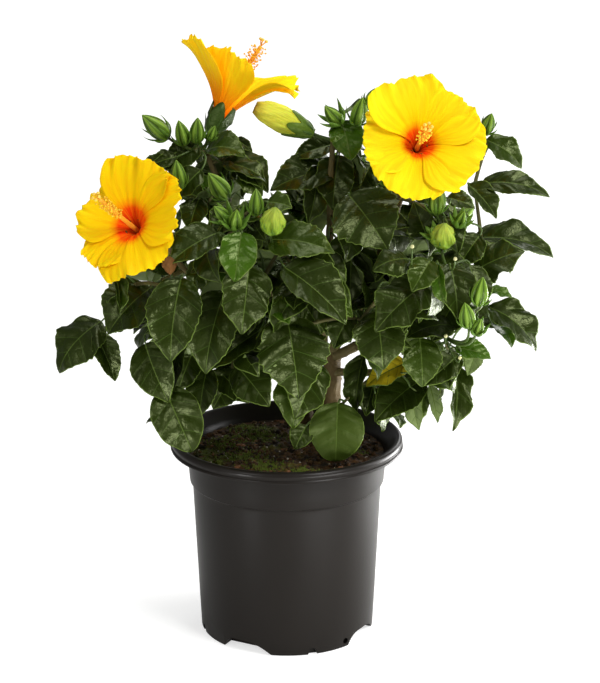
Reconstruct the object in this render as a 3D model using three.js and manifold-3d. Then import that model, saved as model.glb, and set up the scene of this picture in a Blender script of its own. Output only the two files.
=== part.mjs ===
// A hibiscus shrub growing in its nursery pot: the pot, its soil, two stems, eight boughs, three
// open blooms, one fat bud and the masses of foliage that make up the crown.
//
// Millimetres, +Z up, the origin at the middle of the pot's flat underside. Places in the crown are
// given round the pot's axis: azimuth is 0 towards -Y (the front), 90 towards +X and 180 towards +Y,
// reach is the distance from the axis, and height is above the underside.
import * as THREE from "three";
import { mergeVertices } from "three/addons/utils/BufferGeometryUtils.js";
import Module from "manifold-3d";

const wasm = await Module();
wasm.setup();

// ---------------------------------------------------------------- driving dimensions

const GAP = 0.35; // left open between pieces that touch
const SHARPEST = 0.25; // a corner keeps the gap up to this cosine between its faces and their mean

const POT = {
  height: 165,
  facets: 32,
  wall: 1.8,
  floor: 2.4,
  baseRadius: 71.5,
  heelHeight: 50,
  heelRadius: 74,
  stepHeight: 128,
  belowStep: 77.5,
  aboveStep: 79.5,
  neckHeight: 153,
  neckRadius: 82,
  rimRadius: 95,
  rimDepth: 9.5,
  mouthRadius: 90,
  edge: 1.5, // small roundings of the rim and the foot
};

// Raised drainage pockets and small notches, four of each, turn about round the foot.
const POCKET = { count: 4, firstAzimuth: 62, wide: 44, high: 10, deep: 15 };
const NOTCH = { count: 4, firstAzimuth: 17, wide: 8, high: 6, deep: 4 };
const ARCH_STEPS = 7;
const ARCH_FULLNESS = 0.7; // under 1 makes an arch fuller at its shoulders than an ellipse

const SOIL = { edgeHeight: 151, dome: 5, roughness: 1.6, rings: 3 };

const LIMB_SIDES = 6;
const LIMB_STEPS = 5;
const ROOT_FLARE = 0.55; // how much wider a stem stands at the soil than just above it
const FLARE_FADE = 9; // how quickly the flare dies away up the stem

const BARK_STEMS = [
  { name: "stem_main", foot: [125, 42, 150], top: [115, 35, 232], radii: [7.5, 6], bow: 2 },
  { name: "stem_second", foot: [150, 36, 150], top: [150, 27, 228], radii: [6, 4.8], bow: -3 },
];

// An open bloom is a ruffled funnel on a short calyx and stalk, with the column standing in it.
const BLOOM_LOBES = 5;
const BLOOM_FACETS = 10;
const PETAL_EDGE = 2.4; // thickness of the funnel's rim
const BLOOMS = [
  {
    name: "bloom_right", azimuth: 54, reach: 127, height: 420, heading: 10, pitch: 30,
    radius: 53, funnel: 34, stalk: 22, column: 46, ruffle: 0.04, wave: 2,
  },
  {
    name: "bloom_left", azimuth: 303, reach: 142, height: 366, heading: 332, pitch: 32,
    radius: 48, funnel: 30, stalk: 22, column: 50, ruffle: 0.05, wave: 2,
  },
  {
    name: "bloom_top", azimuth: 237, reach: 46, height: 462, heading: 143, pitch: 59,
    radius: 48, funnel: 52, stalk: 22, column: 28, ruffle: 0.05, wave: 5,
  },
];
const FAT_BUD = {
  name: "bud_yellow", azimuth: 350, reach: 12, height: 429, heading: 270, pitch: 22,
  long: 52, radius: 11.5, stalk: 16,
};

// A bough is bent through half its length by bow, and ends at its top or at the stalk it carries.
const BOUGHS = [
  { name: "bough_crest", foot: [115, 32, 233], carries: "bud_yellow", radii: [4.6, 2.2], bow: -4 },
  { name: "bough_right_high", foot: [110, 38, 231], carries: "bloom_right", radii: [5, 2.6], bow: -16 },
  { name: "bough_right_wide", foot: [105, 39, 229], top: [85, 136, 308], radii: [4.4, 2.2], bow: -10 },
  { name: "bough_right_low", foot: [110, 40, 214], top: [82, 130, 235], radii: [3.6, 2], bow: -7 },
  { name: "bough_left_high", foot: [150, 27, 227], carries: "bloom_top", radii: [4.8, 2.4], bow: -12 },
  { name: "bough_left_wide", foot: [160, 24, 226], carries: "bloom_left", radii: [4, 2.2], bow: -12 },
  { name: "bough_front", foot: [160, 24, 226], top: [348, 78, 318], radii: [3.6, 2.2], bow: -8 },
  { name: "bough_back", foot: [150, 33, 228], top: [178, 74, 312], radii: [4.2, 2.4], bow: -6 },
];

// Each mass of foliage is a bundle of leaves: its name, its middle as [azimuth, reach, height], the
// [heading, pitch] it points in from its foot to its tip, its [long, wide, thick] size, and, where
// its foot stands off from its neighbours, the limb from whose end its twig grows. The inner masses
// come first, then the front ones: each is cut to fit round the pieces before it.
const MASS_AROUND = 8;
const MASS_ALONG = 5;
const MASS_OVATE = 0.3; // how much broader a mass is at its foot than at its tip
const MASS_UNEVEN = 0.1;
const MASS_BOW = 0.1; // how far the middle of a mass arches above its ends, as a share of its length
const FOLIAGE = [
  ["inner", [262, 36, 298], [270, 0], [140, 120, 120]],
  ["inner_right", [93, 84, 298], [90, 0], [136, 120, 120]],
  ["left_tip", [278, 160, 250], [285, -42], [66, 64, 36]],
  ["left_shoulder", [288, 140, 286], [275, -52], [66, 48, 40], "bough_left_wide"],
  ["left_front", [314, 122, 286], [325, -78], [82, 48, 40]],
  ["left_hang", [295, 113, 238], [320, -75], [62, 56, 40], "bough_left_wide"],
  ["left_low", [303, 105, 198], [25, -75], [56, 40, 20]],
  ["front_left", [326, 91, 275], [308, -76], [72, 44, 42]],
  ["heart_left", [341, 99, 305], [330, -80], [58, 36, 40]],
  ["round_left", [326, 100, 340], [266, -15], [74, 40, 28]],
  ["centre_front", [3, 90, 252], [330, -82], [98, 56, 46], "bough_front"],
  ["over_soil", [41, 64, 184], [350, -60], [50, 46, 14]],
  ["stem_side", [66, 81, 214], [285, -38], [78, 51, 28]],
  ["right_hang", [85, 131, 214], [240, -84], [90, 54, 30]],
  ["right_core", [62, 120, 252], [290, -60], [66, 50, 48]],
  ["mid_right", [43, 107, 270], [40, -78], [54, 38, 40]],
  ["front_right", [41, 125, 310], [295, -54], [70, 46, 38]],
  ["upper_right", [56, 145, 316], [50, -72], [58, 56, 44]],
  ["right_arch", [84, 174, 276], [95, -38], [80, 40, 26], "bough_right_wide"],
  ["right_wing", [77, 166, 322], [95, 15], [62, 42, 26], "bough_right_wide"],
  ["high_wing", [92, 183, 329], [95, -22], [72, 34, 26], "bough_right_wide"],
  ["top_arch", [90, 178, 375], [90, -12], [64, 48, 30], "bough_right_high"],
  ["top_right", [96, 176, 397], [98, -48], [56, 36, 36]],
  ["under_bloom", [46, 98, 359], [68, -40], [66, 52, 44]],
  ["crest_right", [80, 52, 417], [300, 66], [76, 44, 34]],
  ["top_centre", [110, 33, 373], [262, 55], [72, 60, 44]],
  ["valley_left", [270, 42, 384], [90, 28], [62, 42, 38]],
  ["crest_left", [278, 84, 411], [273, 34], [68, 38, 34]],
  ["core_left", [293, 70, 368], [278, 52], [66, 42, 36]],
  ["bud_group", [338, 76, 363], [330, 80], [48, 66, 46]],
  ["centre_high", [14, 80, 346], [82, -5], [56, 46, 30]],
  ["centre_shine", [15, 102, 318], [82, -40], [70, 42, 26]],
  ["centre_deep", [67, 59, 311], [28, -70], [62, 46, 42]],
  ["bud_right", [68, 127, 356], [330, 80], [54, 54, 50]],
  ["inner_low", [290, 52, 211], [280, -8], [72, 50, 36], "stem_second"],
  ["back_left_low", [236, 111, 250], [235, -46], [82, 62, 60]],
  ["back_left_mid", [246, 120, 308], [245, -15], [80, 64, 42]],
  ["back_left_high", [222, 82, 360], [225, 18], [70, 60, 50]],
  ["back_low", [190, 112, 236], [190, -50], [78, 64, 38], "bough_back"],
  ["back_mid", [186, 115, 300], [185, -20], [84, 64, 40], "bough_back"],
  ["back_high", [160, 72, 350], [165, 18], [78, 64, 50]],
  ["back_right_low", [130, 126, 246], [130, -48], [78, 60, 46]],
  ["back_right_mid", [120, 140, 305], [125, -20], [84, 66, 42]],
  ["back_right_high", [122, 110, 364], [125, 5], [74, 58, 48]],
];

// ---------------------------------------------------------------- materials

const finish = (color, roughness, extra = {}) =>
  new THREE.MeshStandardMaterial({ color, roughness, metalness: 0, ...extra });

const MATERIALS = {
  pot: () => finish(0x262422, 0.42),
  soil: () => finish(0x2e2018, 0.95),
  bark: () => finish(0x8a6b4c, 0.8),
  foliage: () => finish(0x2c4a1e, 0.4),
  bloom: () => finish(0xf6c414, 0.6),
  bud: () => finish(0xc9cc4a, 0.6),
};

// ---------------------------------------------------------------- placing and cutting

const radians = THREE.MathUtils.degToRad;

/** The point at an azimuth, reach and height round the pot's axis. */
function around([azimuth, reach, height]) {
  const a = radians(azimuth);
  return new THREE.Vector3(reach * Math.sin(a), -reach * Math.cos(a), height);
}

/** A frame at a point whose Y runs along heading and pitch, with Z on the upper side. */
function pointing({ azimuth, reach, height, heading, pitch }) {
  const a = radians(heading);
  const p = radians(pitch);
  const side = new THREE.Vector3(-Math.cos(a), -Math.sin(a), 0);
  const forward = new THREE.Vector3(Math.sin(a) * Math.cos(p), -Math.cos(a) * Math.cos(p), Math.sin(p));
  const frame = new THREE.Matrix4().makeBasis(side, forward, side.clone().cross(forward));
  return frame.setPosition(around([azimuth, reach, height]));
}

/** The geometry with only its positions, shared vertices merged. */
function welded(geometry) {
  const bare = geometry.clone();
  bare.deleteAttribute("normal");
  bare.deleteAttribute("uv");
  return mergeVertices(bare, 1e-4);
}

/** The geometry with every face moved outward by about a distance. */
function grown(geometry, distance) {
  const fat = welded(geometry);
  const { position } = fat.attributes;
  const corner = (i) => new THREE.Vector3().fromBufferAttribute(position, i);
  const facing = Array.from({ length: position.count }, () => []);
  for (let i = 0; i < fat.index.count; i += 3) {
    const corners = [0, 1, 2].map((k) => fat.index.getX(i + k));
    const face = new THREE.Triangle(...corners.map(corner)).getNormal(new THREE.Vector3());
    for (const k of corners) facing[k].push(face);
  }
  facing.forEach((faces, i) => {
    const out = faces.reduce((sum, face) => sum.add(face), new THREE.Vector3()).normalize();
    const squareness = Math.min(...faces.map((face) => face.dot(out)));
    const moved = corner(i).addScaledVector(out, distance / Math.max(SHARPEST, squareness));
    position.setXYZ(i, moved.x, moved.y, moved.z);
  });
  return fat;
}

/** A three.js geometry as a solid that can be joined and cut. */
function solidOf(geometry) {
  const bare = welded(geometry);
  const vertProperties = new Float32Array(bare.attributes.position.array);
  const triVerts = new Uint32Array(bare.index.array);
  return new wasm.Manifold(new wasm.Mesh({ numProp: 3, vertProperties, triVerts }));
}

/** A joined or cut solid as a three.js geometry. */
function geometryOf(solid) {
  const { vertProperties, triVerts } = solid.getMesh();
  const geometry = new THREE.BufferGeometry();
  geometry.setAttribute("position", new THREE.BufferAttribute(new Float32Array(vertProperties), 3));
  geometry.setIndex(new THREE.BufferAttribute(new Uint32Array(triVerts), 1));
  geometry.computeVertexNormals();
  return geometry;
}

/** The largest of the bodies that a cut leaves. */
function largestBody(solid) {
  return solid.decompose().reduce((best, body) => (body.volume() > best.volume() ? body : best));
}

const group = new THREE.Group();
const placed = []; // { box, solid } of every piece so far, grown by the gap

/** Adds a piece as a mesh that stands at its frame. */
function addMesh(name, geometry, material, frame) {
  geometry.applyMatrix4(frame.clone().invert());
  geometry.computeVertexNormals();
  const mesh = new THREE.Mesh(geometry, material);
  mesh.name = name;
  mesh.applyMatrix4(frame);
  group.add(mesh);
}

/** Keeps later pieces clear of this one. */
function keepClear(geometry) {
  const fat = grown(geometry, GAP);
  fat.computeBoundingBox();
  placed.push({ box: fat.boundingBox, solid: solidOf(fat) });
}

/** Adds a piece, made in its own frame, after cutting it back from the pieces that are there. */
function addPiece(name, shape, material, frame = new THREE.Matrix4()) {
  const inPlace = shape.clone().applyMatrix4(frame);
  inPlace.computeBoundingBox();
  const neighbours = placed.filter(({ box }) => box.intersectsBox(inPlace.boundingBox));
  const cut = neighbours.reduce((left, { solid }) => left.subtract(solid), solidOf(inPlace));
  addMesh(name, geometryOf(largestBody(cut)), material, frame);
  keepClear(inPlace);
}

// ---------------------------------------------------------------- pot and soil

/** The pot's outer profile, from the axis at the underside to the mouth. */
function outerProfile() {
  const { baseRadius, edge, height, rimRadius, rimDepth, mouthRadius } = POT;
  return [
    [0, 0],
    [baseRadius - edge, 0],
    [baseRadius, edge],
    [POT.heelRadius, POT.heelHeight],
    [POT.belowStep, POT.stepHeight - edge],
    [POT.aboveStep, POT.stepHeight + edge / 2],
    [POT.neckRadius, POT.neckHeight],
    [rimRadius - edge, height - rimDepth],
    [rimRadius, height - rimDepth + edge],
    [rimRadius, height - edge],
    [rimRadius - edge, height],
    [mouthRadius, height],
  ];
}

/** The pot's inner profile, a wall's thickness in, from the floor up to the mouth. */
function innerProfile() {
  return [
    [0, POT.floor],
    [POT.baseRadius - POT.wall, POT.floor],
    [POT.heelRadius - POT.wall, POT.heelHeight],
    [POT.belowStep - POT.wall, POT.stepHeight - POT.edge],
    [POT.aboveStep - POT.wall, POT.stepHeight + POT.edge],
    [POT.neckRadius - POT.wall, POT.neckHeight],
    [POT.mouthRadius, POT.height],
  ];
}

/** A profile turned round the Z axis into a closed solid's geometry. */
function turned(profile) {
  const points = profile.map(([r, z]) => new THREE.Vector2(r, z));
  return new THREE.LatheGeometry(points, POT.facets).rotateX(Math.PI / 2);
}

/** Arched blocks, one at each place round the foot, that stand out past the wall. */
function archedBlocks({ count, firstAzimuth, wide, high, deep }, more = 0) {
  const arch = new THREE.Shape();
  arch.moveTo(wide / 2 + more, -POT.floor);
  arch.lineTo(wide / 2 + more, 0);
  for (let i = 1; i < ARCH_STEPS; i++) {
    const a = (Math.PI * i) / ARCH_STEPS;
    arch.lineTo((wide / 2 + more) * Math.cos(a), (high + more) * Math.sin(a) ** ARCH_FULLNESS);
  }
  arch.lineTo(-wide / 2 - more, 0);
  arch.lineTo(-wide / 2 - more, -POT.floor);
  const inner = POT.baseRadius - deep - more;
  const depth = POT.heelRadius + 2 * more - inner;
  return Array.from({ length: count }, (_, i) => {
    const block = new THREE.ExtrudeGeometry(arch, { depth, steps: 1, bevelEnabled: false });
    block.rotateX(Math.PI / 2).translate(0, -inner, 0);
    block.rotateZ(radians(firstAzimuth + (360 * i) / count));
    return solidOf(block);
  });
}

/** All pockets and notches, each grown by more. */
function drainage(more = 0) {
  return [...archedBlocks(POCKET, more), ...archedBlocks(NOTCH, more)];
}

/** Adds the pot: its wall, floor, rim, pockets and notches. */
function addPot() {
  const outside = turned([...outerProfile(), [0, POT.height]]);
  const above = [POT.mouthRadius, POT.height + 1];
  const inside = turned([...innerProfile(), above, [0, above[1]]]);
  const shell = drainage().reduce((solid, block) => solid.subtract(block), solidOf(outside));
  const hollow = drainage(POT.wall).reduce((solid, block) => solid.subtract(block), solidOf(inside));
  addMesh("pot", geometryOf(shell.subtract(hollow)), MATERIALS.pot(), new THREE.Matrix4());
  keepClear(turned([...outerProfile(), ...innerProfile().reverse().slice(1)]));
}

/** The radius of the pot's inner wall at a height. */
function innerRadius(height) {
  const wall = innerProfile().slice(1);
  const i = wall.findIndex(([, z]) => z >= height);
  const [[r0, z0], [r1, z1]] = [wall[i - 1], wall[i]];
  return r0 + ((r1 - r0) * (height - z0)) / (z1 - z0);
}

/** Adds the soil, which fills the pot to just under its neck. */
function addSoil() {
  const edgeRadius = innerRadius(SOIL.edgeHeight) - GAP;
  const inWall = innerProfile().filter(([, z]) => z < SOIL.edgeHeight);
  const sides = inWall.map(([r, z], i) => [Math.max(0, r - GAP), i < 2 ? z + GAP : z]);
  const top = Array.from({ length: SOIL.rings }, (_, i) => {
    const share = 1 - i / SOIL.rings;
    return [edgeRadius * share, SOIL.edgeHeight + SOIL.dome * (1 - share ** 2)];
  });
  const body = turned([...sides, ...top, [0, SOIL.edgeHeight + SOIL.dome]]);
  roughenTop(body, edgeRadius - 1);
  const cut = drainage(POT.wall + GAP).reduce((solid, block) => solid.subtract(block), solidOf(body));
  addMesh("soil", geometryOf(cut), MATERIALS.soil(), new THREE.Matrix4());
  keepClear(body);
}

/** Lifts and lowers the soil's top inside a radius in small uneven waves. */
function roughenTop(geometry, radius) {
  const { position } = geometry.attributes;
  for (let i = 0; i < position.count; i++) {
    const [x, y, z] = [position.getX(i), position.getY(i), position.getZ(i)];
    if (z > SOIL.edgeHeight - 1 && Math.hypot(x, y) < radius) {
      const wave = Math.sin(x / 9 + 1.3) * Math.cos(y / 11 - 0.4) + 0.6 * Math.sin((x - y) / 6);
      position.setZ(i, z + SOIL.roughness * wave);
    }
  }
}

// ---------------------------------------------------------------- limbs

/** Where the stalk of a bloom or bud ends. */
function stalkEnd(name) {
  const piece = [...BLOOMS, FAT_BUD].find((each) => each.name === name);
  const back = piece.stalk + (piece.funnel ?? piece.long / 2);
  return new THREE.Vector3(0, -back, 0).applyMatrix4(pointing(piece));
}

/** The point where a limb ends. */
function limbEnd({ top, carries }) {
  return carries ? stalkEnd(carries) : around(top);
}

/** A closed tapering limb bent along a smooth line from its foot to its end. */
function limb({ radii, bow, ...ends }, flare = 0) {
  const start = around(ends.foot);
  const end = limbEnd(ends);
  const bend = start.clone().lerp(end, 0.5);
  bend.z += 2 * bow;
  const line = new THREE.QuadraticBezierCurve3(start, bend, end);
  const { normals, binormals } = line.computeFrenetFrames(LIMB_STEPS);
  const geometry = new THREE.CylinderGeometry(1, 1, 1, LIMB_SIDES, LIMB_STEPS);
  const { position } = geometry.attributes;
  for (let i = 0; i < position.count; i++) {
    const share = position.getY(i) + 0.5;
    const k = Math.round(share * LIMB_STEPS);
    const taper = THREE.MathUtils.lerp(radii[0], radii[1], share);
    const radius = taper * (1 + flare * Math.exp(-FLARE_FADE * share));
    const point = line.getPoint(share);
    point.addScaledVector(normals[k], position.getX(i) * radius);
    point.addScaledVector(binormals[k], -position.getZ(i) * radius);
    position.setXYZ(i, point.x, point.y, point.z);
  }
  return facingOut(geometry);
}

/** The geometry with its faces turned round if they point inward. */
function facingOut(geometry) {
  if (solidOf(geometry).volume() > 0) return geometry;
  const { index } = geometry;
  for (let i = 0; i < index.count; i += 3) {
    const [b, c] = [index.getX(i + 1), index.getX(i + 2)];
    index.setX(i + 1, c).setX(i + 2, b);
  }
  return geometry;
}

// ---------------------------------------------------------------- blooms and the fat bud

/** A ruffled funnel with its stalk behind it and its column in front, along +Y. */
function bloom({ radius, funnel, stalk, column, ruffle, wave }) {
  const profile = [
    [0, -funnel - stalk],
    [2.5, -funnel - stalk],
    [7, -funnel - 4],
    [9, -funnel + 10],
    [radius * 0.5, -funnel * 0.28],
    [radius, -PETAL_EDGE / 2],
    [radius, PETAL_EDGE / 2],
    [radius * 0.5, -funnel * 0.1],
    [5, -funnel * 0.45],
    [4, column * 0.45],
    [6, column * 0.85],
    [0, column],
  ].map(([r, y]) => new THREE.Vector2(r, y));
  const geometry = new THREE.LatheGeometry(profile, BLOOM_FACETS);
  const { position } = geometry.attributes;
  for (let i = 0; i < position.count; i++) {
    const [x, y, z] = [position.getX(i), position.getY(i), position.getZ(i)];
    const spread = (Math.hypot(x, z) / radius) ** 2;
    const lobe = Math.cos(BLOOM_LOBES * Math.atan2(x, z));
    const scale = 1 + ruffle * spread * lobe;
    position.setXYZ(i, x * scale, y + wave * spread * lobe, z * scale);
  }
  return geometry;
}

/** A pointed bud on its stalk, along +Y. */
function fatBud({ long, radius, stalk }) {
  const profile = [
    [0, -long / 2 - stalk],
    [2, -long / 2 - stalk],
    [2.4, -long / 2],
    [radius * 0.85, -long * 0.3],
    [radius, 0],
    [radius * 0.75, long * 0.28],
    [0, long / 2],
  ].map(([r, y]) => new THREE.Vector2(r, y));
  return new THREE.LatheGeometry(profile, LIMB_SIDES);
}

// ---------------------------------------------------------------- foliage

/** An uneven bundle of leaves along +Y, broad near its foot, pointed at its tip and arched over. */
function leafBundle([long, wide, thick], order) {
  const geometry = welded(new THREE.SphereGeometry(1, MASS_AROUND, MASS_ALONG));
  const { position } = geometry.attributes;
  for (let i = 0; i < position.count; i++) {
    const [x, y, z] = [position.getX(i), position.getY(i), position.getZ(i)];
    const ovate = 1 - MASS_OVATE * y;
    const angle = Math.atan2(z, x);
    const uneven = 1 + MASS_UNEVEN * (Math.sin(3 * angle + 2.1 * order) + Math.sin(5 * y + 1.7 * order));
    position.setXYZ(
      i,
      (x * ovate * uneven * wide) / 2,
      (y * long) / 2,
      (z * ovate * uneven * thick) / 2 - MASS_BOW * long * y * y,
    );
  }
  return geometry;
}

/** A bundle of leaves whose foot is drawn out to the end of the limb that carries it. */
function foliageMass(size, frame, carrier, order) {
  const bundle = leafBundle(size, order);
  const limbNamed = [...BARK_STEMS, ...BOUGHS].find(({ name }) => name === carrier);
  if (limbNamed) {
    const { position } = bundle.attributes;
    const heights = Array.from({ length: position.count }, (_, i) => position.getY(i));
    const foot = heights.indexOf(Math.min(...heights));
    const seat = limbEnd(limbNamed).applyMatrix4(frame.clone().invert());
    position.setXYZ(foot, seat.x, seat.y, seat.z);
  }
  return bundle;
}

// ---------------------------------------------------------------- the shrub

addPot();
addSoil();
for (const stem of BARK_STEMS) addPiece(stem.name, limb(stem, ROOT_FLARE), MATERIALS.bark());
for (const bough of BOUGHS) addPiece(bough.name, limb(bough), MATERIALS.bark());
for (const flower of BLOOMS) addPiece(flower.name, bloom(flower), MATERIALS.bloom(), pointing(flower));
addPiece(FAT_BUD.name, fatBud(FAT_BUD), MATERIALS.bud(), pointing(FAT_BUD));
FOLIAGE.forEach(([name, [azimuth, reach, height], [heading, pitch], size, carrier], order) => {
  const frame = pointing({ azimuth, reach, height, heading, pitch });
  addPiece(`leaves_${name}`, foliageMass(size, frame, carrier, order), MATERIALS.foliage(), frame);
});

export default group;
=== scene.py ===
"""Looks of a hibiscus shrub in its nursery pot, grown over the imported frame.

Every place comes from the frame: limbs, blooms and masses of foliage stand in the boxes of the
solids that they replace, as shares of those boxes. Sizes of small things are in millimetres.
"""

import logging
import math
from dataclasses import dataclass, field
from enum import IntEnum

import bpy
import numpy as np
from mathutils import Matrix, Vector, noise


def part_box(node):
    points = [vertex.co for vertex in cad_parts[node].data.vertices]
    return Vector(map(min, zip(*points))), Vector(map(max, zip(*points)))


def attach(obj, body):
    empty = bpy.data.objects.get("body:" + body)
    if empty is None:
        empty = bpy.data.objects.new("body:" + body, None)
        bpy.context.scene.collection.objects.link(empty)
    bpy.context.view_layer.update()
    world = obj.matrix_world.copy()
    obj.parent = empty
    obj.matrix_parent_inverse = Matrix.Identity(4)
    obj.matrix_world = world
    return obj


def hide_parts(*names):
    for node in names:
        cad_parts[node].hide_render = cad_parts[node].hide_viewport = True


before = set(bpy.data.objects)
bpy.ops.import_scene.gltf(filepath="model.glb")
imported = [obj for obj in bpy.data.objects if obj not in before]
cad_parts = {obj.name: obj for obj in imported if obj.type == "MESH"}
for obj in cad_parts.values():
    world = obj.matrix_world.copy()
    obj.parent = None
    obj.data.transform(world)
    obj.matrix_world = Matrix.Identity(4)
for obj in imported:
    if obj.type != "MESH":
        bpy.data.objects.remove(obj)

LOG = logging.getLogger("hibiscus")
BLACK, WHITE = (0.0, 0.0, 0.0), (1.0, 1.0, 1.0)
PETAL_MAP = "petal"
BAKE_MAP = "OFBake"
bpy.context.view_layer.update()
BODY = "root"
MM = 0.001
GOLDEN_TURN = math.radians(137.508)
UP = np.array([0.0, 0.0, 1.0])

Triple = tuple[float, float, float]
Pair = tuple[float, float]
Stops = tuple[tuple[float, Triple], ...]


# ---- vectors and places


def unit(vector: np.ndarray) -> np.ndarray:
    """The vector at length one."""
    return vector / max(1e-12, float(np.linalg.norm(vector)))


def aimed(heading: float, pitch: float) -> np.ndarray:
    """A direction from angles in degrees: heading 0 is towards the front, 90 to the right."""
    h, p = math.radians(heading), math.radians(pitch)
    return np.array([math.sin(h) * math.cos(p), -math.cos(h) * math.cos(p), math.sin(p)])


def share_of(node: str, share: Triple) -> np.ndarray:
    """The point at a share of a node's box along X, Y and Z."""
    low, high = (np.array(corner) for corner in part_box(node))
    return low + (high - low) * np.array(share)


def axes_along(direction: np.ndarray, upper: np.ndarray = UP) -> tuple[np.ndarray, np.ndarray]:
    """Two unit vectors square to a direction.

    Args:
        direction: the direction, at length one.
        upper: what the second vector leans towards.

    Returns:
        The vector to the right, seen against the direction, and the upward one.
    """
    side = np.cross(upper, direction)
    if np.linalg.norm(side) < 1e-6:
        side = np.array([1.0, 0.0, 0.0])
    side = unit(side)
    return side, unit(np.cross(direction, side))


def curve_through(start: np.ndarray, bend: np.ndarray, end: np.ndarray, count: int) -> np.ndarray:
    """Points along a smooth curve that leaves start and reaches end by way of bend."""
    t = np.linspace(0.0, 1.0, count)[:, None]
    return (1 - t) ** 2 * start + 2 * t * (1 - t) * bend + t**2 * end


def number_of(name: str) -> int:
    """A number that belongs to a name, for phases and seeds."""
    return sum(map(ord, name))


def smooth_step(value: np.ndarray | float) -> np.ndarray | float:
    """Eases a value between 0 and 1."""
    clipped = np.clip(value, 0.0, 1.0)
    return clipped * clipped * (3 - 2 * clipped)


# ---- shader writing


class Wire:
    """A shader socket that takes part in arithmetic, which adds its Math nodes."""

    def __init__(self, shader: "Shader", socket: bpy.types.NodeSocket) -> None:
        """Wraps an output socket of a shader."""
        self.shader = shader
        self.socket = socket

    def _maths(self, operation: str, left: "Wire | float", right: "Wire | float") -> "Wire":
        """The result of one Math node."""
        return self.shader.node("ShaderNodeMath", {"operation": operation}, {0: left, 1: right})

    def __add__(self, other: "Wire | float") -> "Wire":
        """Sum."""
        return self._maths("ADD", self, other)

    def __sub__(self, other: "Wire | float") -> "Wire":
        """Difference."""
        return self._maths("SUBTRACT", self, other)

    def __rsub__(self, other: float) -> "Wire":
        """Difference with the number first."""
        return self._maths("SUBTRACT", other, self)

    def __mul__(self, other: "Wire | float") -> "Wire":
        """Product."""
        return self._maths("MULTIPLY", self, other)

    __radd__ = __add__
    __rmul__ = __mul__


class Shader:
    """A material under construction round one Principled surface."""

    def __init__(self, name: str) -> None:
        """Starts a material with only its surface and output.

        Args:
            name: the material's name.
        """
        self.material = bpy.data.materials.new(name)
        self.material.use_nodes = True
        self.tree = self.material.node_tree
        self.skin = self.tree.nodes["Principled BSDF"]

    def node(
        self, kind: str, settings: dict | None = None, sockets: dict | None = None, out: int | str = 0
    ) -> Wire:
        """Adds any node.

        Args:
            kind: the node's type.
            settings: its properties, set before its sockets.
            sockets: a value or a Wire for each input, by name or number.
            out: the output that is wanted.

        Returns:
            The output as a Wire.
        """
        made = self.tree.nodes.new(kind)
        for key, value in (settings or {}).items():
            if key == "stops":
                self._set_stops(made.color_ramp, value)
            else:
                setattr(made, key, value)
        for key, value in (sockets or {}).items():
            self._plug(made.inputs[key], value)
        return Wire(self, made.outputs[out])

    def _plug(self, socket: bpy.types.NodeSocket, value: "Wire | float | Triple") -> None:
        """Links or sets one input.

        Args:
            socket: the input.
            value: the Wire that feeds it, or its value.
        """
        if isinstance(value, Wire):
            self.tree.links.new(value.socket, socket)
        else:
            socket.default_value = (*value, 1.0) if socket.type == "RGBA" else value

    @staticmethod
    def _set_stops(ramp: bpy.types.ColorRamp, stops: tuple) -> None:
        """Gives a colour ramp its stops.

        Args:
            ramp: the ramp, new.
            stops: its (position, colour) pairs in order.
        """
        while len(ramp.elements) < len(stops):
            ramp.elements.new(1.0)
        for element, (position, colour) in zip(ramp.elements, stops):
            element.position = position
            element.color = (*colour, 1.0)

    def surface(self, **values: "Wire | float | Triple") -> None:
        """Sets or feeds inputs of the surface: base_color is Base Color, specular_ior_level keeps IOR."""
        for key, value in values.items():
            self._plug(self.skin.inputs[key.replace("_", " ").title().replace("Ior", "IOR")], value)

    def places(self, stretch: Triple = (1.0, 1.0, 1.0)) -> Wire:
        """Object coordinates in metres, stretched along each axis."""
        raw = self.node("ShaderNodeTexCoord", out="Object")
        return self.node("ShaderNodeMapping", {}, {"Vector": raw, "Scale": stretch})

    def cloud(
        self, scale: float, detail: float = 3.0, stretch: Triple = (1.0, 1.0, 1.0), rough: float = 0.5
    ) -> Wire:
        """Noise from 0 to 1 with scale waves to the metre."""
        sockets = {"Vector": self.places(stretch), "Scale": scale, "Detail": detail, "Roughness": rough}
        return self.node("ShaderNodeTexNoise", {}, sockets)

    def ramp(self, factor: Wire, *stops: tuple) -> Wire:
        """A colour from a factor by (position, colour) stops."""
        return self.node("ShaderNodeValToRGB", {"stops": stops}, {0: factor})

    def mix(self, factor: "Wire | float", first: "Wire | Triple", second: "Wire | Triple") -> Wire:
        """A colour between two colours."""
        return self.node("ShaderNodeMix", {"data_type": "RGBA"}, {0: factor, 6: first, 7: second}, out=2)

    def relief(self, height: Wire, depth: float, strength: float = 1.0) -> None:
        """Raises the surface by a height times a depth in metres."""
        sockets = {"Height": height, "Distance": depth, "Strength": strength}
        self.surface(normal=self.node("ShaderNodeBump", {}, sockets))


# ---- finishes


@dataclass(frozen=True)
class PlasticFinish:
    """Black-brown moulded plastic with a satin skin and faint flow marks that are dustier in places."""

    name: str = "pot_plastic"
    colour: Triple = (0.0084, 0.0070, 0.0059)
    dust: Triple = (0.021, 0.017, 0.0135)
    roughness: float = 0.30

    def material(self) -> bpy.types.Material:
        """Builds the material.

        Returns:
            The finished material.
        """
        shader = Shader(self.name)
        marks = shader.cloud(14.0, 4.0, (1.0, 1.0, 0.35))
        speck = shader.cloud(420.0, 2.0)
        shader.surface(
            base_color=shader.mix(marks * 0.35, self.colour, self.dust),
            roughness=marks * 0.14 + (self.roughness - 0.07),
            specular_ior_level=0.18,
        )
        shader.relief(speck * 0.6 + marks * 0.4, 0.00012, 0.5)
        return shader.material


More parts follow.
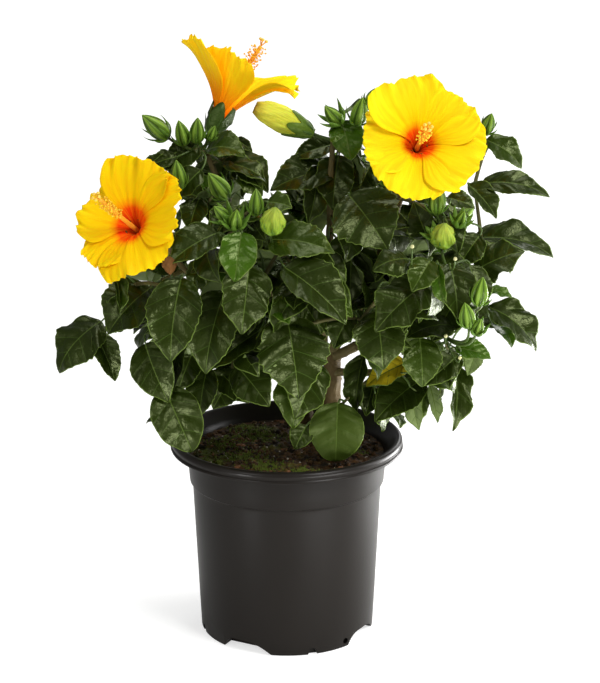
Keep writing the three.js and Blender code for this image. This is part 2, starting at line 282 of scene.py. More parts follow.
@dataclass(frozen=True)
class PeatFinish:
    """Damp peat: near black to red-brown crumbs with a film of moss in patches."""

    name: str = "damp_peat"
    dark: Triple = (0.013, 0.0085, 0.0045)
    brown: Triple = (0.105, 0.048, 0.015)
    moss: Triple = (0.062, 0.078, 0.004)

    def material(self) -> bpy.types.Material:
        """Builds the material.

        Returns:
            The finished material.
        """
        shader = Shader(self.name)
        crumbs = shader.cloud(150.0, 6.0, rough=0.65)
        patches = shader.cloud(24.0, 3.0)
        grain = shader.cloud(620.0, 4.0)
        browned = shader.mix(shader.ramp(crumbs, (0.42, BLACK), (0.68, WHITE)), self.dark, self.brown)
        mossy = shader.ramp(patches + crumbs * 0.35, (0.72, BLACK), (0.86, WHITE))
        shader.surface(base_color=shader.mix(mossy, browned, self.moss), roughness=grain * 0.3 + 0.62)
        shader.surface(specular_ior_level=0.2)
        shader.relief(crumbs * 0.7 + grain * 0.3, 0.0012)
        return shader.material


@dataclass(frozen=True)
class BarkFinish:
    """Bark with long fine cracks, lighter on its ridges."""

    name: str
    ridge: Triple
    crack: Triple

    def material(self) -> bpy.types.Material:
        """Builds the material.

        Returns:
            The finished material.
        """
        shader = Shader(self.name)
        streaks = shader.cloud(300.0, 5.0, (1.0, 1.0, 0.28), 0.6)
        patches = shader.cloud(55.0, 3.0)
        colour = shader.mix(streaks * 0.75 + patches * 0.45, self.crack, self.ridge)
        shader.surface(base_color=colour, roughness=streaks * 0.25 + 0.6, specular_ior_level=0.25)
        shader.relief(streaks, 0.0007)
        return shader.material


@dataclass(frozen=True)
class LeafFinish:
    """The waxy skin of a leaf: one plain colour under a satin gloss with a fine net of cells."""

    name: str
    colour: Triple
    roughness: float = 0.31
    cells: float = 0.0010

    def material(self) -> bpy.types.Material:
        """Builds the material.

        Returns:
            The finished material.
        """
        shader = Shader(self.name)
        net = shader.cloud(420.0, 3.0)
        crinkle = shader.cloud(150.0, 3.0, rough=0.6)
        film = shader.cloud(60.0, 3.0)
        gloss = film * 0.30 + (self.roughness - 0.15)
        shader.surface(base_color=self.colour, roughness=gloss, specular_ior_level=0.36)
        shader.surface(specular_tint=(0.86, 1.0, 0.46))
        shader.relief(crinkle * 0.88 + net * 0.12, self.cells)
        return shader.material


@dataclass(frozen=True)
class PetalFinish:
    """A petal's skin, dark in the throat and clear at the rim, with fine rays along it."""

    name: str
    stops: Stops
    # The fold colour is laid over the low lines of the relief by the share below it: partly the petal's fine
    # veins, partly painted shade in its creases.
    fold: Triple = (0.900, 0.400, 0.004)
    rays: float = 0.05
    crease_shade: float = 0.45
    # glow is an emission of the skin's own colour: painted light that brightens the petals as light shining
    # through them would.
    glow: float = 0.0

    def material(self) -> bpy.types.Material:
        """Builds the material, whose map runs across and along each petal.

        Returns:
            The finished material.
        """
        shader = Shader(self.name)
        spot = shader.node("ShaderNodeUVMap", {"uv_map": PETAL_MAP})
        stretched = shader.node("ShaderNodeMapping", {}, {"Vector": spot, "Scale": (16.0, 0.9, 1.0)})
        rays = shader.node("ShaderNodeTexNoise", {}, {"Vector": stretched, "Scale": 3.0, "Detail": 4.0})
        broad = shader.node("ShaderNodeTexNoise", {}, {"Vector": stretched, "Scale": 0.9, "Detail": 2.0})
        split = shader.node("ShaderNodeSeparateXYZ", {}, {0: spot}, out="Y")
        reach = split + (rays - 0.5) * (2 * self.rays)
        grown = shader.ramp(reach, *self.stops)
        # Low lines of the relief take the fold colour: painted shade in the creases, along with the fine
        # veins.
        shaded_lines = shader.ramp(rays * 0.6 + broad * 0.4, (0.34, WHITE), (0.56, BLACK))
        skin = shader.mix(shaded_lines * self.crease_shade, grown, self.fold)
        shader.surface(base_color=skin)
        # Painted light: the petal glows with its own colour.
        if self.glow:
            shader.surface(emission_color=skin, emission_strength=self.glow)
        shader.surface(roughness=rays * 0.2 + 0.5, specular_ior_level=0.10, specular_tint=(1.0, 0.9, 0.3))
        shader.surface(subsurface_weight=0.34, subsurface_radius=(0.004, 0.002, 0.0004))
        shader.relief(rays * 0.7 + broad * 0.3, 0.0009, 0.9)
        return shader.material


@dataclass(frozen=True)
class TissueFinish:
    """Small fleshy parts: one colour with a fine grain in gloss and height."""

    name: str
    colour: Triple
    roughness: float = 0.45
    grain: float = 700.0

    def material(self) -> bpy.types.Material:
        """Builds the material.

        Returns:
            The finished material.
        """
        shader = Shader(self.name)
        grain = shader.cloud(self.grain, 3.0)
        shader.surface(base_color=self.colour, roughness=grain * 0.2 + (self.roughness - 0.1))
        shader.surface(specular_ior_level=0.3)
        shader.relief(grain, 0.0002)
        return shader.material


class Tone(IntEnum):
    """The slots of a piece of foliage, in order."""

    DEEP = 0
    MID = 1
    FRESH = 2
    YELLOW = 3
    UNDER = 4
    VEIN = 5
    RIB = 6
    EDGE = 7
    OLIVE = 8


LEAF_FINISHES: dict[Tone, LeafFinish] = {
    Tone.DEEP: LeafFinish("leaf_deep_green", (0.0118, 0.0208, 0.0012)),
    Tone.MID: LeafFinish("leaf_mid_green", (0.019, 0.0365, 0.0015)),
    Tone.FRESH: LeafFinish("leaf_fresh_green", (0.033, 0.082, 0.0028), 0.26),
    Tone.YELLOW: LeafFinish("leaf_turned_yellow", (0.35, 0.27, 0.008), 0.45),
    Tone.UNDER: LeafFinish("leaf_underside", (0.125, 0.17, 0.056), 0.52, 0.0008),
    Tone.VEIN: LeafFinish("leaf_side_vein", (0.032, 0.06, 0.008), 0.4),
    Tone.RIB: LeafFinish("leaf_midrib", (0.065, 0.104, 0.016), 0.45),
    Tone.OLIVE: LeafFinish("leaf_flat_olive", (0.03, 0.05, 0.0045), 0.45, 0.0008),
    Tone.EDGE: LeafFinish("leaf_margin", (0.09, 0.14, 0.02), 0.45),
}

CLEAR_STOPS: Stops = (
    (0.06, (0.62, 0.01, 0.002)),
    (0.18, (0.8, 0.018, 0.002)),
    (0.29, (0.88, 0.05, 0.001)),
    (0.35, (0.92, 0.37, 0.001)),
    (0.42, (0.93, 0.62, 0.001)),
    (0.97, (0.94, 0.76, 0.01)),
)
GOLDEN_STOPS: Stops = (
    (0.06, (0.62, 0.01, 0.002)),
    (0.2, (0.78, 0.016, 0.002)),
    (0.34, (0.84, 0.036, 0.001)),
    (0.4, (0.89, 0.3, 0.001)),
    (0.48, (0.895, 0.53, 0.001)),
    (0.97, (0.905, 0.64, 0.004)),
)
AMBER_STOPS: Stops = (
    (0.08, (0.88, 0.12, 0.002)),
    (0.32, (0.95, 0.24, 0.002)),
    (0.48, (0.96, 0.4, 0.003)),
    (0.64, (0.97, 0.59, 0.005)),
    (1.0, (0.97, 0.68, 0.01)),
)
SUNNY_STOPS: Stops = (
    (0.1, (0.85, 0.14, 0.002)),
    (0.34, (0.94, 0.44, 0.002)),
    (0.55, (0.96, 0.64, 0.004)),
    (1.0, (0.96, 0.68, 0.008)),
)
RIPE_STOPS: Stops = (
    (0.0, (0.12, 0.24, 0.025)),
    (0.4, (0.25, 0.37, 0.035)),
    (0.85, (0.43, 0.51, 0.075)),
    (1.0, (0.34, 0.44, 0.07)),
)
BUD_STOPS: Stops = (
    (0.0, (0.3, 0.42, 0.05)),
    (0.35, (0.58, 0.62, 0.06)),
    (0.8, (0.76, 0.72, 0.08)),
    (0.93, (0.7, 0.56, 0.06)),
    (1.0, (0.3, 0.14, 0.02)),
)


# ---- gathering faces


class Gathering:
    """Closed tubes of faces of one kind, gathered to be joined into one piece."""

    def __init__(self) -> None:
        """Starts empty."""
        self.points: list[np.ndarray] = []
        self.faces: list[list[int]] = []
        self.slots: list[int] = []
        self.maps: list[np.ndarray] = []
        self.count = 0

    def add(self, grid: np.ndarray, slots: np.ndarray | int = 0, spots: np.ndarray | None = None) -> None:
        """Adds a tube whose two ends are closed by caps.

        Args:
            grid: points as rows along the tube by columns round it, in metres.
            slots: the material slot of each face, or one for all.
            spots: a map place for each point, where the piece has a map.
        """
        rows, columns = grid.shape[:2]
        index = self.count + np.arange(rows * columns).reshape(rows, columns)
        ahead = np.roll(index, -1, axis=1)
        quads = np.stack([index[:-1], ahead[:-1], ahead[1:], index[1:]], axis=-1).reshape(-1, 4)
        caps = [*self._cap(index[0][::-1]), *self._cap(index[-1])]
        if self._volume(grid) < 0:
            quads = quads[:, ::-1]
            caps = [cap[::-1] for cap in caps]
        self.points.append(grid.reshape(-1, 3))
        self.faces.extend(quads.tolist())
        self.faces.extend(caps)
        flat = np.broadcast_to(slots, (rows - 1, columns)).reshape(-1).tolist()
        self.slots.extend([*flat, *[flat[0]] * (len(caps) // 2), *[flat[-1]] * (len(caps) // 2)])
        if spots is not None:
            self.maps.append(spots.reshape(-1, 2))
        self.count += rows * columns

    @staticmethod
    def _cap(ring: np.ndarray) -> list[list[int]]:
        """Closes a ring from side to side, so that a flat ring closes along its edge.

        Args:
            ring: the numbers of its points, in order.

        Returns:
            The faces of the cap.
        """
        n = len(ring)
        strips = [(k, k + 1, n - 2 - k, n - 1 - k) for k in range((n - 1) // 2)]
        return [[int(ring[i]) for i in dict.fromkeys(strip)] for strip in strips]

    @staticmethod
    def _volume(grid: np.ndarray) -> float:
        """Measures a closed grid, to tell which way its faces look.

        Args:
            grid: its points.

        Returns:
            Six times the signed volume inside it.
        """
        centred = grid - grid.mean(axis=(0, 1))
        ahead = np.roll(centred, -1, axis=1)
        a, b, c, d = centred[:-1], ahead[:-1], ahead[1:], centred[1:]
        first = np.einsum("ijk,ijk->", a, np.cross(b, c))
        return float(first + np.einsum("ijk,ijk->", a, np.cross(c, d)))

    def piece(self, name: str, finishes: list[bpy.types.Material], slot: str, *stands_for: str) -> None:
        """Joins what was gathered into one piece that rides on the shrub.

        Args:
            name: the piece's name.
            finishes: a material for each slot.
            slot: the record's slot, passed on to settle, where it is not used.
            stands_for: the nodes that it replaces, if any.
        """
        mesh = bpy.data.meshes.new(name)
        mesh.from_pydata(np.concatenate(self.points), [], self.faces)
        mesh.polygons.foreach_set("material_index", self.slots)
        mesh.polygons.foreach_set("use_smooth", [True] * len(self.faces))
        if self.maps:
            self._lay_maps(mesh)
        settle(bpy.data.objects.new(name, mesh), finishes, slot, *stands_for)

    def _lay_maps(self, mesh: bpy.types.Mesh) -> None:
        """Gives the mesh its petal map, and a tiled copy of it for baking.

        Args:
            mesh: the joined mesh.
        """
        places = np.concatenate(self.maps)
        corners = np.empty(len(mesh.loops), dtype=np.int32)
        mesh.loops.foreach_get("vertex_index", corners)
        tile = np.concatenate([np.full(len(block), i) for i, block in enumerate(self.maps)])
        across = math.ceil(math.sqrt(len(self.maps)))
        shifted = np.stack([tile % across, tile // across], axis=1)
        packed = (shifted + 0.02 + places * 0.96) / across
        for name, values in ((PETAL_MAP, places), (BAKE_MAP, packed)):
            layer = mesh.uv_layers.new(name=name)
            layer.data.foreach_set("uv", values[corners].astype(np.float32).ravel())


def show(thing: bpy.types.Object) -> None:
    """Puts an object in the scene."""
    bpy.context.scene.collection.objects.link(thing)


def settle(piece: bpy.types.Object, finishes: list[bpy.types.Material], slot: str, *stands_for: str) -> None:
    """Puts a piece in the scene, sets it on the body that it rides on, and hides the solids that it stands
    for.

    Args:
        piece: the new object.
        finishes: a material for each of its slots.
        slot: the record's slot; not used.
        stands_for: the nodes that it replaces, if any.
    """
    show(piece)
    for finish in finishes:
        piece.data.materials.append(finish)
    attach(piece, BODY)
    if stands_for:
        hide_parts(*stands_for)
    LOG.info("%s: %d faces for %s", piece.name, len(piece.data.polygons), stands_for or "nothing")


def tube(path: np.ndarray, radii: np.ndarray | float, sides: int = 8) -> np.ndarray:
    """A round tube's grid along a path.

    Args:
        path: its middle points, in metres.
        radii: a radius for each point, or one for all.
        sides: points round it.

    Returns:
        Rows along the path by sides round it.
    """
    steps = np.gradient(path, axis=0)
    steps /= np.maximum(1e-12, np.linalg.norm(steps, axis=1, keepdims=True))
    side = axes_along(steps[0])[0]
    around = circle(sides)
    radius = np.broadcast_to(radii, len(path))
    rings = []
    for centre, step, r in zip(path, steps, radius):
        side = unit(side - step * (side @ step))
        other = np.cross(step, side)
        ring = np.cos(around)[:, None] * side + np.sin(around)[:, None] * other
        rings.append(centre + r * ring)
    return np.array(rings)


def circle(count: int) -> np.ndarray:
    """Evenly spaced angles of one turn, in radians."""
    return np.linspace(0, 2 * math.pi, count, endpoint=False)


def ball(radius: float, rows: int, tall: float = 1.0, gap: float = 0.15) -> list[Pair]:
    """The half profile of a ball that is open by a small angle at its poles."""
    angles = np.linspace(gap, math.pi - gap, rows)
    return [(radius * math.sin(a), -radius * tall * math.cos(a)) for a in angles]


def loose(points: np.ndarray | list[Triple], faces: list[list[int]]) -> bpy.types.Object:
    """An object that is in no scene yet.

    Args:
        points: its points, in metres.
        faces: the numbers of each face's points.

    Returns:
        The object.
    """
    mesh = bpy.data.meshes.new("loose")
    mesh.from_pydata(points, [], faces)
    return bpy.data.objects.new("loose", mesh)


def turned(profile: list[Pair], sides: int) -> np.ndarray:
    """A grid turned round Z from (radius, height) points in millimetres."""
    rings = [[(r * math.cos(a), r * math.sin(a), z) for a in circle(sides)] for r, z in profile]
    return np.array(rings) * MM


def stood(grid: np.ndarray, foot: np.ndarray, direction: np.ndarray, spin: float = 0.0) -> np.ndarray:
    """Stands a grid that was made along Z.

    Args:
        grid: its points, in metres.
        foot: where its origin goes.
        direction: where its Z goes.
        spin: its turn about that, in radians.

    Returns:
        The grid in its place.
    """
    side, upper = axes_along(direction)
    turned_side = math.cos(spin) * side + math.sin(spin) * upper
    turned_upper = np.cross(direction, turned_side)
    return foot + grid @ np.array([turned_side, turned_upper, direction])


# ---- pot


@dataclass
class NurseryPot:
    """The moulded pot: a tapering wall with a step, a rolled rim and pockets round its foot."""

    node: str = "pot"
    sides: int = 192
    wall: float = 1.6
    floor: float = 2.4
    arches: int = 4
    first_arch: float = 62.0
    arch: Triple = (44.0, 10.0, 15.0)
    first_notch: float = 17.0
    notch: Triple = (8.0, 6.0, 4.0)
    drain: Triple = (41.6, 5.5, 2.6)
    foot_radius: float = 71.5
    crest: Pair = (90.3, 164.7)
    lid: float = 170.0
    beyond: float = 90.0
    axis: float = 0.2
    finish: PlasticFinish = PlasticFinish()

    def outer(self) -> list[Pair]:
        """Draws the outside from the underside to the top of the rim.

        Returns:
            Its (radius, height) points.
        """
        foot = [(self.axis, 0.0), (66.0, 0.0), (70.2, 0.0), (71.1, 0.4), (self.foot_radius, 1.3)]
        side = [(self.foot_radius + 1.2 * (h - 1.3) / 23.7, h) for h in (16.0, 19.0, 25.0)]
        side += [(72.7 + 0.0465 * (h - 25.0), float(h)) for h in range(30, 126, 5)]
        step = [(77.4, 125.6), (77.5, 126.8), (77.9, 127.6), (79.0, 128.0), (79.6, 128.5), (79.8, 129.5)]
        neck = [(80.6, 139.0), (81.8, 150.6), (82.0, 151.6), (82.6, 152.2), (83.2, 152.4), (83.5, 153.0)]
        lip = [(84.0, 155.0), (86.0, 156.2), (90.0, 156.3), (93.8, 155.6), (94.8, 155.9), (95.2, 156.8)]
        roll = [(94.9, 157.9), (94.1, 158.5), (94.2, 159.3), (94.8, 160.4), (94.7, 162.0), (94.1, 163.5)]
        return [*foot, *side, *step, *neck, *lip, *roll, (93.0, 164.6), (91.8, 165.0), self.crest]

    def inner(self) -> list[Pair]:
        """Draws the inside from the floor to the rim.

        Returns:
            Its (radius, height) points.
        """
        low = [(self.axis, self.floor), (69.6, self.floor), (70.4, 3.6)]
        side = [(72.4, 50.0), (75.9, 126.0), (77.9, 129.5), (80.4, 152.8)]
        return [*low, *side, (83.5, 157.0), (87.6, 161.8), (89.3, 164.0), self.crest]

    def arched(self, size: Triple, azimuth: float, more: float) -> bpy.types.Object:
        """A block with an arched top that stands across the wall's foot.

        Args:
            size: its width, height and reach inwards, in millimetres.
            azimuth: where it stands round the pot, in degrees.
            more: how much it is grown all round.

        Returns:
            The block as a loose object.
        """
        wide, high, deep = size
        turns = np.linspace(0, math.pi, 25)
        half = [(math.cos(a), 1 - abs(math.cos(a)) ** (1.9 if a < math.pi / 2 else 5.0)) for a in turns]
        outline = [(x * (wide / 2 + more), z * (high + more)) for x, z in half]
        outline += [(-wide / 2 - more, -4.0), (wide / 2 + more, -4.0)]
        near, far = self.foot_radius - deep - more, self.beyond
        points = [(x, -y, z) for y in (near, far) for x, z in outline]
        turn = math.radians(azimuth)
        spun = [
            (x * math.cos(turn) - y * math.sin(turn), x * math.sin(turn) + y * math.cos(turn), z)
            for x, y, z in points
        ]
        count = len(outline)
        faces = [[i, (i + 1) % count, count + (i + 1) % count, count + i] for i in range(count)]
        faces += [list(range(count))[::-1], list(range(count, 2 * count))]
        return loose([tuple(MM * v for v in p) for p in spun], faces)

    def cutters(self, more: float = 0.0) -> list[bpy.types.Object]:
        """Every pocket and notch of the foot.

        Args:
            more: how much each is grown all round.

        Returns:
            Their blocks.
        """
        turns = [360 * i / self.arches for i in range(self.arches)]
        pockets = [self.arched(self.arch, self.first_arch + t, more) for t in turns]
        return pockets + [self.arched(self.notch, self.first_notch + t, more) for t in turns]

    def drain_hole(self) -> bpy.types.Object:
        """A small round hole low in the wall.

        Returns:
            Its plug as a loose object.
        """
        azimuth, height, radius = self.drain
        inside, outside = 55.0, 80.0
        out = aimed(azimuth, 0.0)
        path = np.array([out * (r * MM) + UP * (height * MM) for r in (inside, outside)])
        return self.solid(tube(path, radius * MM, 20))

    @staticmethod
    def solid(grid: np.ndarray) -> bpy.types.Object:
        """Makes a solid of a grid.

        Args:
            grid: its points, in metres.

        Returns:
            A loose object.
        """
        gathered = Gathering()
        gathered.add(grid)
        return loose(np.concatenate(gathered.points), gathered.faces)

    @staticmethod
    def cut(body: bpy.types.Object, tools: list[bpy.types.Object]) -> bpy.types.Object:
        """Cuts tools out of a body.

        Args:
            body: a loose object.
            tools: the loose objects to cut away.

        Returns:
            What is left, as a new loose object.
        """
        holder = bpy.data.collections.new("tools")
        for each in tools:
            holder.objects.link(each)
        show(body)
        change = body.modifiers.new("cut", "BOOLEAN")
        change.operand_type = "COLLECTION"
        change.collection = holder
        change.solver = "EXACT"
        shape = bpy.data.meshes.new_from_object(body.evaluated_get(bpy.context.evaluated_depsgraph_get()))
        for each in [*tools, body]:
            bpy.data.objects.remove(each)
        bpy.data.collections.remove(holder)
        return bpy.data.objects.new("cut", shape)

    def build(self) -> None:
        """Builds the pot and dresses it."""
        above = [(self.crest[0], self.lid), (self.axis, self.lid)]
        outside = self.solid(turned([*self.outer(), (self.axis, self.crest[1])], self.sides))
        inside = self.solid(turned([*self.inner(), *above], self.sides))
        shell = self.cut(outside, self.cutters())
        hollow = self.cut(inside, self.cutters(self.wall))
        pot = self.cut(shell, [hollow, self.drain_hole()])
        pot.name = pot.data.name = "pot_shell"
        pot.data.shade_smooth()
        pot.data.set_sharp_from_angle(angle=math.radians(38))
        pot.data.materials.clear()
        settle(pot, [self.finish.material()], "pot", self.node)


# ---- soil


@dataclass
class PottingSoil:
    """Damp peat that fills the pot, with crumbs, bark bits, pale specks and moss on it."""

    node: str = "soil"
    seed: int = 5
    rings: int = 84
    sides: int = 260
    edge: Pair = (79.4, 151.5)
    dome: float = 4.0
    crumbs: int = 620
    bark_bits: int = 75
    specks: int = 120
    tufts: int = 3600
    strewn: float = 76.0
    moss_patches: tuple[Triple, ...] = (
        (-38.0, -22.0, 20.0), (-18.0, -44.0, 14.0), (-50.0, 12.0, 16.0), (-24.0, 26.0, 17.0),
        (16.0, -58.0, 10.0), (-30.0, 44.0, 16.0), (40.0, 44.0, 14.0), (58.0, -10.0, 8.0),
    )

    def height(self, x: float, y: float) -> float:
        """Works out how high the top lies.

        Args:
            x: a place to the right, in millimetres.
            y: its place to the back.

        Returns:
            The height there, in millimetres.
        """
        reach = min(1.0, math.hypot(x, y) / self.edge[0])
        broad = noise.noise(Vector((x / 26, y / 26, 1.7))) * 3.0
        lumps = noise.fractal(Vector((x / 7, y / 7, 4.1)), 0.8, 2.1, 4) * 1.7
        cracks = abs(noise.noise(Vector((x / 11, y / 11, 9.3)))) * -1.6
        fade = 1 - reach**8
        return self.edge[1] + self.dome * (1 - reach**2) + (broad + lumps + cracks) * fade

    def ground(self) -> Gathering:
        """Makes the body of soil with its rough top.

        Returns:
            The one closed grid.
        """
        around = circle(self.sides)
        low = [(0.3, 12.6), (60.0, 12.6), (68.6, 13.2), (70.5, 50.0), (74.0, 120.0), (79.2, 148.0)]
        body = turned(low, self.sides)
        top = []
        for k in range(self.rings):
            r = self.edge[0] * (1 - k / self.rings) ** 0.8
            ring = [(r * math.cos(a), r * math.sin(a)) for a in around]
            top.append([(x * MM, y * MM, self.height(x, y) * MM) for x, y in ring])
        gathered = Gathering()
        gathered.add(np.concatenate([body, np.array(top)]))
        return gathered

    def scatter(
        self, rng: np.random.Generator, count: int, size: Pair, flat: float, longer: float
    ) -> Gathering:
        """Small uneven lumps strewn over the top.

        Args:
            rng: the source of chance.
            count: how many.
            size: smallest and largest radius in millimetres.
            flat: height as a share of width.
            longer: length as a share of width.

        Returns:
            The lumps.
        """
        gathered = Gathering()
        profile = ball(1.0, 6, gap=0.12)
        for _ in range(count):
            reach, azimuth = self.strewn * math.sqrt(rng.uniform(0, 1)), rng.uniform(0, 2 * math.pi)
            x, y = reach * math.cos(azimuth), reach * math.sin(azimuth)
            radius = rng.uniform(*size)
            lump = turned(profile, 7) * radius
            lump *= rng.uniform(0.75, 1.25, lump.shape)
            lump *= np.array([longer, 1.0, flat])
            spin = rng.uniform(0, 2 * math.pi)
            tilt = unit(np.array([rng.normal(0, 0.3), rng.normal(0, 0.3), 1.0]))
            place = np.array([x, y, self.height(x, y) + 0.25 * radius * flat]) * MM
            gathered.add(stood(lump, place, tilt, spin))
        return gathered

    def moss(self, rng: np.random.Generator) -> Gathering:
        """Cushions of moss: short pointed shoots, close together in patches.

        Args:
            rng: the source of chance.

        Returns:
            The shoots.
        """
        gathered = Gathering()
        for k in range(self.tufts):
            cx, cy, spread = self.moss_patches[k % len(self.moss_patches)]
            x, y = rng.normal(cx, spread * 0.55), rng.normal(cy, spread * 0.4)
            if math.hypot(x, y) > self.strewn:
                continue
            lean = unit(np.array([rng.normal(0, 0.5), rng.normal(0, 0.5), 1.0]))
            foot = np.array([x, y, self.height(x, y) - 0.4]) * MM
            tall = rng.uniform(1.2, 2.8) * MM
            path = np.array([foot, foot + lean * tall * 0.6, foot + lean * tall])
            gathered.add(tube(path, np.array([0.55, 0.42, 0.06]) * MM, 4))
        return gathered

    def build(self) -> None:
        """Builds the soil and all that lies on it."""
        rng = np.random.default_rng(self.seed)
        peat = PeatFinish().material()
        self.ground().piece("potting_soil", [peat], "soil", self.node)
        brown = BarkFinish("bark_bit", (0.210, 0.085, 0.030), (0.050, 0.022, 0.010)).material()
        pale = TissueFinish("pale_grit", (0.42, 0.38, 0.32), 0.7).material()
        green = TissueFinish("moss_green", (0.078, 0.108, 0.006), 0.7).material()
        self.scatter(rng, self.crumbs, (0.7, 2.4), 0.8, 1.2).piece("peat_crumbs", [peat], "soil")
        self.scatter(rng, self.bark_bits, (0.8, 2.3), 0.35, 2.1).piece("bark_bits", [brown], "soil")
        self.scatter(rng, self.specks, (0.35, 0.8), 0.8, 1.2).piece("pale_specks", [pale], "soil")
        self.moss(rng).piece("moss_tufts", [green], "soil")


# ---- limbs


@dataclass(frozen=True)
class Limb:
    """A stem or bough, from its foot to its end as shares of its solid's box."""

    node: str
    foot: Triple
    end: Triple
    radii: Pair
    bow: float
    flare: float = 0.0

    def line(self, count: int = 56) -> np.ndarray:
        """Draws the limb's middle line, slightly wandering.

        Args:
            count: how many points.

        Returns:
            The points, in metres.
        """
        foot, end = share_of(self.node, self.foot), share_of(self.node, self.end)
        bend = (foot + end) / 2 + UP * (2 * self.bow * MM)
        path = curve_through(foot, bend, end, count)
        side, upper = axes_along(unit(end - foot))
        t = np.linspace(0, 1, count)
        fade = np.sin(math.pi * t)
        phase = number_of(self.node)
        sway = np.sin(7 * t + phase) * 1.6 * MM * fade
        nod = np.sin(11 * t + 2 * phase) * 1.1 * MM * fade
        return path + sway[:, None] * side + nod[:, None] * upper

    def grid(self, sides: int = 28) -> np.ndarray:
        """Shapes the bark: ridges along it, leaf scars round it and a flare at the soil.

        Args:
            sides: points round it.

        Returns:
            Rows along the limb by points round it.
        """
        path = self.line()
        t = np.linspace(0, 1, len(path))
        taper = self.radii[0] + (self.radii[1] - self.radii[0]) * t
        taper = taper * (1 + self.flare * np.exp(-9 * t))
        grid = tube(path, taper * MM, sides)
        length = float(np.linalg.norm(path[-1] - path[0])) / MM
        phase = number_of(self.node)
        for k, ring in enumerate(grid):
            along = t[k] * length
            for j in range(sides):
                a = 2 * math.pi * j / sides
                where = Vector((2.2 * math.cos(a), 2.2 * math.sin(a), along / 16 + phase))
                ridge = noise.fractal(where, 0.7, 2.0, 4) * 0.16
                scar = 0.13 * math.exp(-(((along + 3 * math.sin(a + phase)) % 17.0 - 8.5) / 1.3) ** 2)
                roots = 0.22 * self.flare * math.cos(4 * a + phase) * math.exp(-7 * t[k])
                ring[j] += (ring[j] - path[k]) * (ridge + scar + roots)
        return grid


LIMBS = (
    Limb("stem_main", (0.74, 0.6, -0.05), (0.58, 0.23, 0.99), (8.4, 6.8), 2, 0.5),
    Limb("stem_second", (0.56, 0.61, -0.07), (0.28, 0.22, 1.0), (5.8, 4.7), -3, 0.5),
    Limb("bough_crest", (0.29, 0.86, 0.0), (0.84, 0.07, 0.99), (4.4, 1.9), -4),
    Limb("bough_right_high", (0.06, 0.91, 0.02), (0.98, 0.06, 0.99), (4.8, 2.3), -16),
    Limb("bough_right_wide", (0.02, 0.86, 0.05), (0.98, 0.08, 0.99), (4.2, 2.0), -10),
    Limb("bough_right_low", (0.02, 0.9, 0.13), (0.99, 0.04, 0.91), (3.4, 1.7), -3),
    Limb("bough_left_high", (0.95, 0.89, 0.01), (0.02, 0.06, 1.0), (4.6, 2.1), -12),
    Limb("bough_left_wide", (0.98, 0.95, 0.03), (0.02, 0.03, 0.99), (3.8, 1.9), -12),
    Limb("bough_front", (0.9, 1.0, 0.03), (0.06, 0.02, 0.99), (3.4, 1.7), -8),
    Limb("bough_back", (0.8, 0.07, 0.03), (0.13, 0.96, 0.99), (4.0, 1.9), -6),
)


class Perches:
    """Points along limbs and twigs from which stalks can grow."""

    def __init__(self) -> None:
        """Starts with no point."""
        self.points: list[np.ndarray] = []

    def add(self, path: np.ndarray, low: float = 0.0) -> None:
        """Adds a path's points above a share of its length."""
        self.points.extend(path[int(low * len(path)) :: 2])

    def nearest(self, place: np.ndarray) -> np.ndarray:
        """The perch nearest to a place."""
        points = np.array(self.points)
        return points[int(np.argmin(np.linalg.norm(points - place, axis=1)))]


@dataclass
class Wood:
    """The stems and boughs in their bark, with perches for twigs beyond the boughs' lower part."""

    perches: Perches
    bare: float = 0.45
    old: BarkFinish = BarkFinish("bark_tan", (0.140, 0.096, 0.034), (0.048, 0.030, 0.010))
    young: BarkFinish = BarkFinish("bark_olive", (0.17, 0.135, 0.050), (0.050, 0.042, 0.016))

    def build(self) -> None:
        """Builds the stems as one piece and the boughs as another."""
        standing = [limb.node for limb in LIMBS if limb.node.startswith("stem")]
        spreading = [limb.node for limb in LIMBS if limb.node not in standing]
        stems, boughs = Gathering(), Gathering()
        for limb in LIMBS:
            if limb.node in standing:
                stems.add(limb.grid())
            else:
                boughs.add(limb.grid())
                self.perches.add(limb.line(), self.bare)
        stems.piece("stems_bark", [self.old.material()], "bark", *standing)
        boughs.piece("boughs_bark", [self.young.material()], "bark", *spreading)


# ---- leaves


@dataclass(frozen=True)
class LeafForm:
    """How one leaf is shaped. Angles are in radians, the rest are shares of its size."""

    wide: float = 0.7
    fold: float = 0.25
    curl: float = 0.0
    bend: float = 0.7
    hook: float = 0.3
    twist: float = 0.0
    teeth: float = 0.05
    wave: float = 0.12
    blunt: float = 0.0
    tone: Tone = Tone.DEEP


